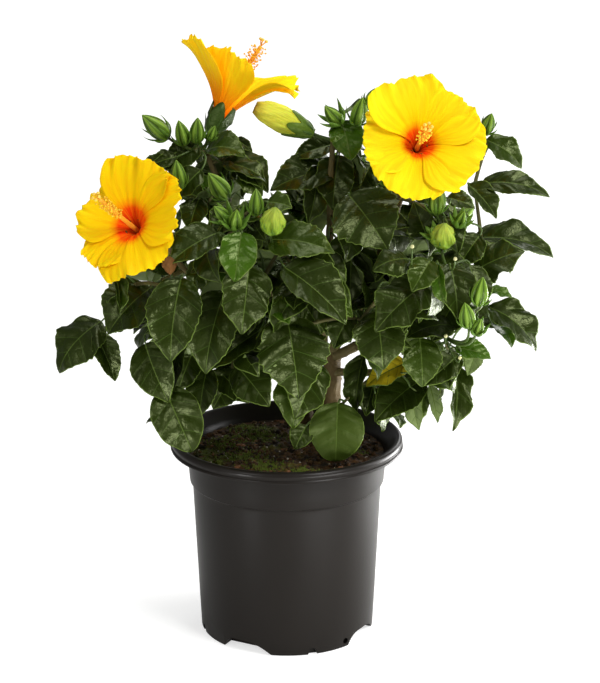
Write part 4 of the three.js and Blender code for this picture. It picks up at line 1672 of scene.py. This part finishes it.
@dataclass
class Buds:
    """Green buds in their ribbed calyx over a ring of narrow bracts."""

    foliage: Foliage
    seed: int = 3
    ribs: int = 5
    bracts: int = 7
    rows: int = 26
    sides: int = 40
    cup_rows: int = 9

    def calyx(self, bud: Bud, spin: float) -> np.ndarray:
        """Shapes the bud's body along Z: ribs with deep valleys that meet in a point.

        Args:
            bud: its length and ripeness.
            spin: its turn about Z, in radians.

        Returns:
            Its closed grid.
        """
        t = np.linspace(0, 1, self.rows)[:, None]
        around = circle(self.sides)[None, :]
        girth = np.sin(math.pi * np.clip(t, 0.02, 0.985) ** 0.74) ** 0.74
        turned_by = 1.5 * t if bud.ripe else 0 * t
        rib = np.abs(np.cos(self.ribs / 2 * (around + turned_by))) ** 0.7
        slim = 0.38 if bud.ripe else 0.285 - 0.0015 * bud.long
        radius = bud.long * slim * girth * (0.82 + 0.27 * rib)
        if bud.ripe:
            frills = 0.07 * np.sin(11 * around + 9 * t) * t
            radius = radius * (1 + frills + 0.05 * np.sin(7 * around - 14 * t))
        lean = around + spin
        height = t * bud.long + 0 * radius
        return np.stack([radius * np.cos(lean), radius * np.sin(lean), height], axis=-1) * MM

    def ribbed(self) -> np.ndarray:
        """Deals out the slots round a bud: pale green on the ribs, and darker greens down the flanks and in
        the valleys, which are painted shade.

        Returns:
            The slot of each face of a row.
        """
        middle = (np.arange(self.sides) + 0.5) * 2 * math.pi / self.sides
        rib = np.abs(np.cos(self.ribs / 2 * middle))
        return np.where(rib > 0.9, 0, np.where(rib > 0.4, 3, 2))

    @staticmethod
    def bract(long: float, turn: float, open_by: float, hold: float, leafy: float = 0.0) -> np.ndarray:
        """Shapes a narrow bract that leaves the calyx's foot and curves up beside it.

        Args:
            long: its length in millimetres.
            turn: where it stands round Z, in radians.
            open_by: how far its end leans out, as a share of its length.
            hold: how far it stands off the calyx, in millimetres.
            leafy: from 0, a narrow bract, to 1, a small leaf.

        Returns:
            Its closed grid.
        """
        t = np.linspace(0, 1, 10)
        reach = 1.2 + hold * np.sin(t * 1.9) + long * open_by * t**1.5
        height = long * (0.02 + 0.90 * t**1.2)
        path = np.stack([reach * math.cos(turn), reach * math.sin(turn), height], axis=-1) * MM
        girth = np.sin(math.pi * np.clip(0.12 + 0.86 * t, 0, 0.985)) * (1.15 + 2.6 * leafy) * MM
        grid = tube(path, girth, 8)
        flat = np.array([math.cos(turn), math.sin(turn), 0.0])
        centred = grid - path[:, None, :]
        return grid - (centred @ flat)[..., None] * flat * (0.6 + 0.3 * leafy)

    def small_parts(self, green: Gathering) -> None:
        """Adds a withered bud that hangs under the left bloom, and the pale tips of young shoots.

        Args:
            green: gets them.
        """
        crumple = self.calyx(Bud((0, 0, 0), (0, 0), 14.0, True), 0.0) * np.array([1.0, 0.7, 1.0])
        place = share_of("leaves_left_front", (0.43, 0.2, 1.19))
        green.add(stood(crumple, place, aimed(20, -70)), 4)
        self.foliage.stalk(place, unit(place - self.foliage.perches.nearest(place)), 0.8)
        for mass, share in [(mass, share) for mass, shares in YOUNG_TIPS.items() for share in shares]:
            foot = share_of(f"leaves_{mass}", share)
            green.add(stood(turned(ball(1.5, 7), 10), foot, UP), 5)
            self.foliage.stalk(foot, UP, 0.6)

    def build(self) -> None:
        """Builds every bud on its stalk."""
        rng = np.random.default_rng(self.seed)
        green, ripe = Gathering(), Gathering()
        for mass, bud in [(mass, bud) for mass, buds in BUDS.items() for bud in buds]:
            foot, direction = share_of(f"leaves_{mass}", bud.at), aimed(*bud.aim)
            foot = foot - direction * 0.45 * bud.long * MM
            spin = rng.uniform(0, 2 * math.pi)
            body = stood(self.calyx(bud, spin), foot, direction)
            if bud.ripe:
                across, along = np.linspace(0, 1, self.sides), np.linspace(0, 1, self.rows)
                spots = np.stack(np.meshgrid(across, along), axis=-1)
                ripe.add(body, 0, spots)
                cup = self.calyx(Bud(bud.at, bud.aim, bud.long), spin)[: self.cup_rows]
                wider = np.array([1.42, 1.42, 1.0])
                green.add(stood(cup * wider, foot - direction * MM, direction), self.ribbed())
            else:
                green.add(body, self.ribbed())
            for k in range(self.bracts):
                turn = 2 * math.pi * k / self.bracts + rng.uniform(-0.15, 0.15)
                long = bud.long * (rng.uniform(0.50, 0.72) + 0.4 * bud.leafy)
                open_by = rng.uniform(0.0, 0.22) + bud.leafy * 0.5
                grid = self.bract(long, turn, open_by, 0.28 * bud.long, bud.leafy)
                green.add(stood(grid, foot, direction), 1)
            self.foliage.stalk(foot + direction * MM, direction, 1.05)
        self.small_parts(green)
        skins = (
            LeafFinish("bud_green", (0.2, 0.33, 0.04), 0.36),
            LeafFinish("bract_green", (0.09, 0.18, 0.02), 0.4),
            # The valley and flank greens are painted shade in the calyx's grooves; the rib green is the
            # calyx's own.
            LeafFinish("bud_valley_painted_shade", (0.036, 0.078, 0.006), 0.4),
            LeafFinish("bud_flank_painted_half_shade", (0.1, 0.19, 0.016), 0.4),
            TissueFinish("withered_rust", (0.13, 0.052, 0.008), 0.8),
            TissueFinish("cream_tip", (0.62, 0.6, 0.3), 0.6),
        )
        green.piece("flower_buds", [skin.material() for skin in skins], "green_buds")
        # The fold colour in the low lines of the relief is painted shade in the bud's creases.
        pale = PetalFinish("bud_pale_green", RIPE_STOPS, (0.070, 0.140, 0.010), crease_shade=0.7)
        ripe.piece("ripe_buds", [pale.material()], "green_buds")


# ---- blooms


@dataclass(frozen=True)
class Petal:
    """One petal: its turn about the axis, length, opening and how it breaks at the rim."""

    turn: float
    long: float
    flare: float
    wide: float
    back: float
    square: float
    lean: float = 0.0
    taper: float = 0.0


@dataclass
class Bloom:
    """An open bloom in the box of its solid: petals, column, stigmas, calyx and bracts."""

    node: str
    throat: Triple
    aim: Pair
    petals: tuple[Petal, ...]
    inside: Stops
    outside: Stops
    column: float
    funnel: float
    seed: int
    anthers: int
    anther_colour: Triple
    nod: float
    toward: float
    cup_size: float = 1.0
    ruffle: float = 1.0
    threads: Pair = (3.2, 5.4)
    # glow is painted light, an emission that the petals' finishes get.
    glow: float = 0.0
    steps: int = 160
    thick: float = 0.32

    def petal_grid(self, petal: Petal, rng: np.random.Generator) -> tuple[np.ndarray, np.ndarray]:
        """One petal as a closed grid along Z, with its map.

        Args:
            petal: the petal's shape.
            rng: the source of its ruffles.

        Returns:
            The grid, its inner side first, and a map place for each point.
        """
        rows, columns = 56, 48
        v = np.linspace(0.0, 1.0, rows)[:, None]
        u = np.linspace(-1.0, 1.0, columns)[None, :]
        fine = np.linspace(0, 1, self.steps + 1)
        start = math.radians(20)
        angle = start + (math.radians(petal.flare) - start) * smooth_step(fine / 0.60)
        angle = angle + math.radians(petal.back) * smooth_step((fine - 0.66) / 0.34) ** 1.5
        step = petal.long / self.steps
        out = 2.4 + np.concatenate([[0], np.cumsum(np.sin(angle[1:]))]) * step
        rise = -self.funnel + np.concatenate([[0], np.cumsum(np.cos(angle[1:]))]) * step
        frill = self.waves(u, rng, ((0.9, 4.0), (0.8, 7.0), (0.9, 12.0)))
        fringe = self.waves(u, rng, ((0.8, 19.0), (0.8, 29.0)))
        frill = frill + fringe * (0.4 + 0.6 * np.sin(5 * u + rng.uniform(0, 6)) ** 2)
        corner = petal.square * 0.26 * u**2 * (1 - u**6) - (1 - petal.square) * 0.10 * np.abs(u) ** 2.2
        reach = 0.955 + corner + petal.lean * u - 0.13 * np.abs(u) ** 7 + 0.012 * frill
        s = v * reach
        radius, height, lean = (np.interp(s, fine, line) for line in (out, rise, angle))
        half = math.radians(50) * petal.wide * (0.74 + 0.36 * np.sin(math.pi * np.clip(s, 0, 1) ** 1.3))
        half = half * (1 - petal.taper * smooth_step((s - 0.35) / 0.6))
        broad = self.waves(u, rng, ((1.6, 1.3), (1.3, 2.4), (0.8, 4.1)))
        crimp = self.waves(u, rng, ((0.6, 8.0), (0.6, 13.0), (0.45, 21.0)))
        rays = 0.22 * np.cos(u * 15 + 3 * np.sin(u * 4)) + 0.18 * np.cos(u * 37 + 2 * np.sin(u * 7))
        rays = rays * np.sin(math.pi * np.clip(s, 0, 1) ** 0.8)
        crease = -0.6 * np.exp(-((u / 0.12) ** 2)) * np.sin(math.pi * np.clip(s, 0, 1))
        overlap = 0.3 * u * smooth_step(s / 0.5)
        lift = self.ruffle * (broad * s**2.8 * 1.4 + crimp * s**8 * 2.2) + rays + crease + overlap + 0.5
        theta = math.radians(petal.turn) + u * half
        sheets = []
        for thick in (0.0, -self.thick):
            r = radius - (lift + thick) * np.cos(lean)
            z = height + (lift + thick) * np.sin(lean)
            sheets.append(np.stack([r * np.cos(theta), r * np.sin(theta), z], axis=-1))
        grid = np.concatenate([sheets[0], sheets[1][:, ::-1]], axis=1) * MM
        across = np.broadcast_to((u + 1) / 2, (rows, columns))
        along = np.broadcast_to(v, (rows, columns)) * reach
        face = np.stack([across * 0.49, along], axis=-1)
        back = np.stack([0.51 + across[:, ::-1] * 0.49, along[:, ::-1]], axis=-1)
        return grid, np.concatenate([face, back], axis=1)

    @staticmethod
    def waves(u: np.ndarray, rng: np.random.Generator, parts: tuple[Pair, ...]) -> np.ndarray:
        """Adds up waves across a petal.

        Args:
            u: places across it, from -1 to 1.
            rng: the source of their heights and phases.
            parts: (height, half waves) of each.

        Returns:
            The height at each place.
        """
        total = np.zeros_like(u)
        for high, count in parts:
            tall = high * rng.uniform(0.7, 1.2)
            total = total + tall * np.sin(u * count * math.pi / 2 + rng.uniform(0, 6.3))
        return total

    def column_parts(self, rng: np.random.Generator) -> Gathering:
        """Makes the column with its anthers on short threads, and five stigmas at its end.

        Args:
            rng: the source of the threads' lengths.

        Returns:
            Its parts along Z.
        """
        gathered = Gathering()
        count = 30
        t = np.linspace(0, 1, count)
        bow = self.nod * self.column * t**2
        side, up = math.cos(math.radians(self.toward)), math.sin(math.radians(self.toward))
        rise = -self.funnel + 3 + (self.column + self.funnel - 3) * t
        path = np.stack([bow * side, bow * up, rise], axis=-1) * MM
        girth = np.linspace(1.9, 1.15, count) * (1 + 0.1 * (self.threads[1] - 5))
        gathered.add(tube(path, girth * MM, 14), 0)
        for k in range(self.anthers):
            share = 0.52 + 0.44 * k / self.anthers
            start = path[int(share * (count - 1))]
            turn = k * GOLDEN_TURN
            out = np.array([math.cos(turn), math.sin(turn), rng.uniform(0.25, 0.8)])
            self.thread(gathered, start, unit(out), rng.uniform(*self.threads), 0.19, 0.78, 1)
        for k in range(5):
            turn = 2 * math.pi * k / 5
            out = np.array([0.55 * math.cos(turn), 0.55 * math.sin(turn), 1.0])
            self.thread(gathered, path[-1], unit(out), 6.0, 0.42, 1.35, 2)
        return gathered

    @staticmethod
    def thread(
        gathered: Gathering, start: np.ndarray, out: np.ndarray,
        long: float, thin: float, knob: float, slot: int,
    ) -> None:
        """Adds a thread with a knob at its end.

        Args:
            gathered: gets them.
            start: where it leaves the column.
            out: its direction.
            long: its length in millimetres.
            thin: its radius.
            knob: the knob's radius.
            slot: the knob's slot.
        """
        end = start + out * long * MM
        gathered.add(tube(np.linspace(start, end, 4), thin * MM, 5), 0)
        gathered.add(stood(turned(ball(knob, 6, 0.85), 8), end, out), slot)

    def cup(self) -> Gathering:
        """Makes the calyx's five lobes round the funnel, a ring of bracts and the swollen stalk.

        Returns:
            They, along Z.
        """
        gathered = Gathering()
        around = circle(60)
        lobes = np.abs(np.cos(2.5 * around)) ** 0.8
        low = -self.funnel - 9.0
        outside = [(2.0, 0.0), (3.4, 0.6), (5.2, 2.2), (6.2, 5.0), (6.4, 8.0), (6.6, 11.0), (7.2, 14.0)]
        rows = []
        for r, h in [*outside, *[(r - 0.7, h) for r, h in outside[::-1][:-1]]]:
            rise = h + (h / 14.0) ** 2 * (9.0 * lobes - 3.0)
            flare = 1 + 0.16 * (h / 14.0) ** 2 * (1 - lobes)
            wide = r * flare
            rows.append(np.stack([wide * np.cos(around), wide * np.sin(around), low + rise], axis=-1))
        cup = (np.array(rows) - UP * low) * self.cup_size + UP * low
        gathered.add(cup * MM, 0)
        for k in range(7):
            turn = 2 * math.pi * (k + 0.3) / 7
            bract = Buds.bract(13.0 * self.cup_size, turn, 0.36, 4.0)
            gathered.add(bract + UP * (low - 1.5) * MM, 1)
        stalk = np.array([[0, 0, low - 15.0], [0, 0, low - 8.0], [0, 0, low + 1.0]]) * MM
        gathered.add(tube(stalk, np.array([1.3, 1.5, 2.3]) * MM, 12), 0)
        return gathered

    def place(self, gathered: Gathering, centre: np.ndarray, direction: np.ndarray) -> Gathering:
        """Stands everything gathered along Z at the throat, along the bloom's aim."""
        gathered.points = [stood(points, centre, direction) for points in gathered.points]
        return gathered

    def build(self, foliage: Foliage, skins: dict[str, bpy.types.Material]) -> None:
        """Builds and dresses the bloom, and joins it to the crown.

        Args:
            foliage: gives it its stalk.
            skins: the finishes that the blooms share.
        """
        rng = np.random.default_rng(self.seed)
        centre, direction = share_of(self.node, self.throat), aimed(*self.aim)
        petals = Gathering()
        for petal in self.petals:
            grid, spots = self.petal_grid(petal, rng)
            columns = grid.shape[1]
            petals.add(grid, (np.arange(columns) >= columns // 2).astype(int), spots)
        name = self.node
        sides = {"inside": self.inside, "outside": self.outside}
        finishes = [PetalFinish(f"{name}_{side}", stops, glow=self.glow) for side, stops in sides.items()]
        dressed = [finish.material() for finish in finishes]
        self.place(petals, centre, direction).piece(f"{name}_petals", dressed, "petals", name)
        anther = TissueFinish(f"{name}_anther", self.anther_colour, 0.7).material()
        middle = self.place(self.column_parts(rng), centre, direction)
        middle.piece(f"{name}_column", [skins["column"], anther, skins["stigma"]], "petals")
        green = self.place(self.cup(), centre, direction)
        green.piece(f"{name}_calyx", [skins["calyx"], skins["bract"]], "green_buds")
        foot = centre - direction * (self.funnel + 23.0) * MM
        foliage.stalk(foot, direction, 1.3)


BLOOMS: tuple[Bloom, ...] = (
    Bloom(
        "bloom_right", (0.492, 0.36, 0.534), (8, 32),
        (
            Petal(44, 56, 76, 1.0, 4, 0.55, -0.06),
            Petal(106, 60, 76, 1.05, 6, 0.9, 0.03),
            Petal(176, 53, 78, 1.08, 14, 0.5),
            Petal(248, 57, 80, 1.08, 26, 0.3),
            Petal(332, 58, 78, 1.15, 10, 0.6, 0.05),
        ),
        CLEAR_STOPS, GOLDEN_STOPS, column=15.0, funnel=22.0, seed=4, anthers=46,
        anther_colour=(0.95, 0.68, 0.035), nod=0.22, toward=50.0, ruffle=1.25,
    ),
    Bloom(
        "bloom_left", (0.43, 0.6, 0.41), (330, 34),
        (
            Petal(88, 62, 72, 1.0, 2, 0.6, 0.06),
            Petal(166, 51, 74, 1.1, 12, 0.4),
            Petal(247, 51, 76, 0.92, 4, 0.3, -0.04, 0.16),
            Petal(306, 60, 80, 1.1, 14, 0.5),
            Petal(22, 60, 76, 1.0, 4, 0.8, 0.08),
        ),
        GOLDEN_STOPS, GOLDEN_STOPS, column=38.0, funnel=24.0, seed=9, anthers=80,
        # glow here is painted light that brightens this bloom's petals.
        anther_colour=(0.9, 0.55, 0.03), nod=0.06, toward=140.0, ruffle=1.25, glow=0.04,
    ),
    Bloom(
        "bloom_top", (0.43, 0.52, 0.46), (112, 62),
        (
            Petal(78, 76, 50, 1.05, 20, 0.3, 0.0, 0.4),
            Petal(10, 40, 30, 0.9, 10, 0.5),
            Petal(290, 72, 42, 1.4, 66, 0.7),
            Petal(254, 76, 40, 1.05, 34, 0.6),
            Petal(124, 66, 30, 1.26, 6, 0.3),
        ),
        SUNNY_STOPS, AMBER_STOPS, column=44.0, funnel=28.0, seed=6, anthers=120,
        anther_colour=(0.9, 0.47, 0.012), nod=0.14, toward=270.0, cup_size=1.4, ruffle=1.2,
        # glow here is painted light, standing in for light that shines through these thin petals.
        threads=(4.0, 8.5), glow=0.16,
    ),
)


@dataclass
class FatBud:
    """The long yellow bud that is about to open: wrapped petals in a green calyx."""

    node: str = "bud_yellow"
    tip: Triple = (0.03, 0.50, 0.86)
    foot: Triple = (0.72, 0.50, 0.17)
    wide: float = 9.4

    def shell(self, around: np.ndarray, t: np.ndarray, more: float, long: float) -> np.ndarray:
        """Works out the wrapped petals' surface.

        Args:
            around: angles round the bud.
            t: shares of its length.
            more: how far the surface is let out, in millimetres.
            long: the bud's length in millimetres.

        Returns:
            Points along Z, in metres.
        """
        at = np.clip(t, 0, 1)
        girth = np.sin(math.pi * np.clip(0.06 + 0.84 * at, 0, 0.97) ** 1.05) ** 0.62
        wrap = around + 2.0 * t
        pleat = 1 + 0.13 * np.abs(np.sin(2.5 * wrap)) ** 0.5 + 0.045 * np.sin(11 * wrap + 3 * t) * t
        crumple = 1 - (0.22 + 0.16 * np.sin(5 * around)) * smooth_step((t - 0.86) / 0.14)
        radius = self.wide * girth * pleat * crumple + more
        z = np.broadcast_to(t * long, radius.shape)
        return np.stack([radius * np.cos(around), radius * np.sin(around), z], axis=-1) * MM

    def build(self, foliage: Foliage, skins: dict[str, bpy.types.Material]) -> None:
        """Builds the bud between its foot and tip.

        Args:
            foliage: gives it its stalk.
            skins: the finishes that the blooms share.
        """
        foot, tip = share_of(self.node, self.foot), share_of(self.node, self.tip)
        direction = unit(tip - foot)
        long = float(np.linalg.norm(tip - foot)) / MM
        t = np.linspace(0, 1, 46)[:, None]
        around = circle(72)[None, :]
        grid = self.shell(around, t, 0.0, long)
        petals = Gathering()
        spots = np.stack(np.broadcast_arrays(around / (2 * math.pi), t), axis=-1)
        petals.add(stood(grid, foot, direction), 0, spots)
        # The fold colour in the low lines of the relief is painted shade in the bud's creases.
        pale = PetalFinish("bud_pale_yellow", BUD_STOPS, (0.400, 0.360, 0.015), crease_shade=0.6)
        petals.piece("yellow_bud_petals", [pale.material()], "petals", self.node)
        green = Gathering()
        low = np.linspace(-0.03, 0.22, 14)[:, None]
        lobes = np.abs(np.cos(2.5 * around)) ** 1.3 * smooth_step(low / 0.2) * 0.22
        outer = self.shell(around, low + lobes, 0.9, long)
        inner = self.shell(around, low + lobes, 0.3, long)[::-1]
        green.add(stood(np.concatenate([outer, inner[:-2]]), foot, direction), 0)
        for k in range(7):
            bract = Buds.bract(11.0, 2 * math.pi * k / 7, 0.25, 4.5)
            green.add(stood(bract, foot - direction * 2 * MM, direction), 1)
        green.piece("yellow_bud_calyx", [skins["bud_calyx"], skins["bract"]], "green_buds")
        foliage.stalk(foot, direction, 1.3)


def flower_skins() -> dict[str, bpy.types.Material]:
    """Makes the finishes that the blooms share.

    Returns:
        Each material by its part's name.
    """
    finishes = {
        "column": TissueFinish("column_yellow", (0.9, 0.42, 0.03), 0.5),
        "stigma": TissueFinish("stigma_yellow", (0.92, 0.62, 0.1), 0.6),
        "calyx": LeafFinish("calyx_green", (0.034, 0.066, 0.01), 0.4),
        "bud_calyx": LeafFinish("bud_calyx_green", (0.075, 0.135, 0.012), 0.4),
        "bract": LeafFinish("bloom_bract_green", (0.05, 0.105, 0.018), 0.4),
    }
    return {name: finish.material() for name, finish in finishes.items()}


# ---- studio


@dataclass(frozen=True)
class Softbox:
    """A rectangular light: its place, width and height, power, and what it looks at."""

    name: str
    place: Triple
    size: Pair
    power: float
    target: Triple = (0.0, 0.0, 0.25)

    def hang(self) -> None:
        """Hangs the light where the camera doesn't see it."""
        data = bpy.data.lights.new(self.name, "AREA")
        data.shape, data.size, data.size_y, data.energy = "RECTANGLE", *self.size, self.power
        lamp = bpy.data.objects.new(self.name, data)
        lamp.location = self.place
        lamp.visible_camera = False
        lamp.rotation_euler = (Vector(self.target) - Vector(self.place)).to_track_quat("-Z", "Y").to_euler()
        show(lamp)


LOW = (0.0, 0.0, 0.08)

SOFTBOXES: tuple[Softbox, ...] = (
    Softbox("key_softbox", (1.15, -1.25, 1.75), (0.7, 0.9), 32.0),
    Softbox("left_softbox", (-1.55, -0.95, 1.15), (0.6, 1.2), 1.6),
    Softbox("top_softbox", (0.1, 0.3, 2.1), (0.9, 0.9), 12.0),
    Softbox("back_softbox", (0.9, 1.8, 1.1), (1.0, 1.2), 11.0),
    Softbox("right_softbox", (1.9, 0.2, 0.8), (0.8, 1.0), 15.0),
    Softbox("bloom_softbox", (-0.75, -1.0, 0.95), (0.4, 0.4), 2.9, (-0.1, 0.0, 0.45)),
    Softbox("low_left_strip", (-0.32, -0.4, 0.07), (0.05, 0.14), 0.8, LOW),
    Softbox("low_front_strip", (0.3, -0.42, 0.06), (0.3, 0.1), 1.6, LOW),
    Softbox("low_right_strip", (0.48, 0.2, 0.11), (0.3, 0.2), 4.2, LOW),
)


@dataclass
class Studio:
    """A pale floor under soft light, and the camera at the shrub's front."""

    floor_colour: Triple = (0.58, 0.58, 0.57)
    floor_half: float = 12.0
    floor_glow: Pair = (0.63, 0.97)
    floor_bounce: float = 0.05
    floor_fade: Pair = (0.45, 2.6)
    room_light: float = 0.19
    lens: float = 112.0
    sensor: float = 36.0
    stand: Triple = (0.0, -1.650, 0.725)
    heading: float = 0.375
    look_down: float = 16.24

    def build(self) -> None:
        """Sets up the floor, the lights, the surroundings and the camera."""
        self.floor()
        for softbox in SOFTBOXES:
            softbox.hang()
        self.surroundings()
        self.camera()

    def floor(self) -> None:
        """A plain pale floor."""
        mesh = bpy.data.meshes.new("studio_floor")
        half = self.floor_half
        corners = [(-half, -half, 0.0), (half, -half, 0.0), (half, half, 0.0), (-half, half, 0.0)]
        mesh.from_pydata(corners, [], [(0, 1, 2, 3)])
        floor = bpy.data.objects.new("studio_floor", mesh)
        shader = Shader("pale_floor")
        start, end = self.floor_fade
        place = shader.places((1 / end,) * 3)
        reach = shader.node("ShaderNodeVectorMath", {"operation": "LENGTH"}, {0: place}, out="Value")
        near, far = self.floor_glow
        seen = shader.node("ShaderNodeLightPath", out="Is Camera Ray")
        glow = shader.ramp(reach, (start, (near,) * 3), (1.0, (far,) * 3))
        glow = shader.mix(seen, (self.floor_bounce,) * 3, glow)
        shader.surface(base_color=self.floor_colour, roughness=0.9, specular_ior_level=0.0)
        shader.surface(emission_color=glow, emission_strength=1.0)
        mesh.materials.append(shader.material)
        show(floor)

    def surroundings(self) -> None:
        """A white room, softer as light than as background."""
        world = bpy.data.worlds.new("white_room")
        bpy.context.scene.world = world
        world.use_nodes = True
        nodes, links = world.node_tree.nodes, world.node_tree.links
        lit, seen = nodes["Background"], nodes.new("ShaderNodeBackground")
        lit.inputs["Color"].default_value = seen.inputs["Color"].default_value = (1, 1, 1, 1)
        lit.inputs["Strength"].default_value = self.room_light
        seen.inputs["Strength"].default_value = 1.0
        chooser, path = nodes.new("ShaderNodeMixShader"), nodes.new("ShaderNodeLightPath")
        links.new(path.outputs["Is Camera Ray"], chooser.inputs[0])
        links.new(lit.outputs[0], chooser.inputs[1])
        links.new(seen.outputs[0], chooser.inputs[2])
        links.new(chooser.outputs[0], nodes["World Output"].inputs["Surface"])

    def camera(self) -> None:
        """The camera, a little above the crown and looking down at it."""
        data = bpy.data.cameras.new("front_camera")
        data.lens, data.sensor_width = self.lens, self.sensor
        data.clip_start, data.clip_end = 0.05, 60.0
        camera = bpy.data.objects.new("front_camera", data)
        camera.location = self.stand
        camera.rotation_euler = (math.radians(90 - self.look_down), 0.0, math.radians(-self.heading))
        show(camera)
        bpy.context.scene.camera = camera
        bpy.context.scene.view_settings.view_transform = "Standard"


# ---- the shrub


def main() -> None:
    """Builds the camera and studio, then the shrub from the pot up."""
    logging.basicConfig(level=logging.INFO, format="%(name)s: %(message)s")
    Studio().build()
    NurseryPot().build()
    PottingSoil().build()
    perches = Perches()
    Wood(perches).build()
    foliage = Foliage(perches)
    foliage.build()
    skins = flower_skins()
    for bloom in BLOOMS:
        bloom.build(foliage, skins)
    FatBud().build(foliage, skins)
    Buds(foliage).build()
    foliage.build_wood()


if __name__ == "__main__":
    main()
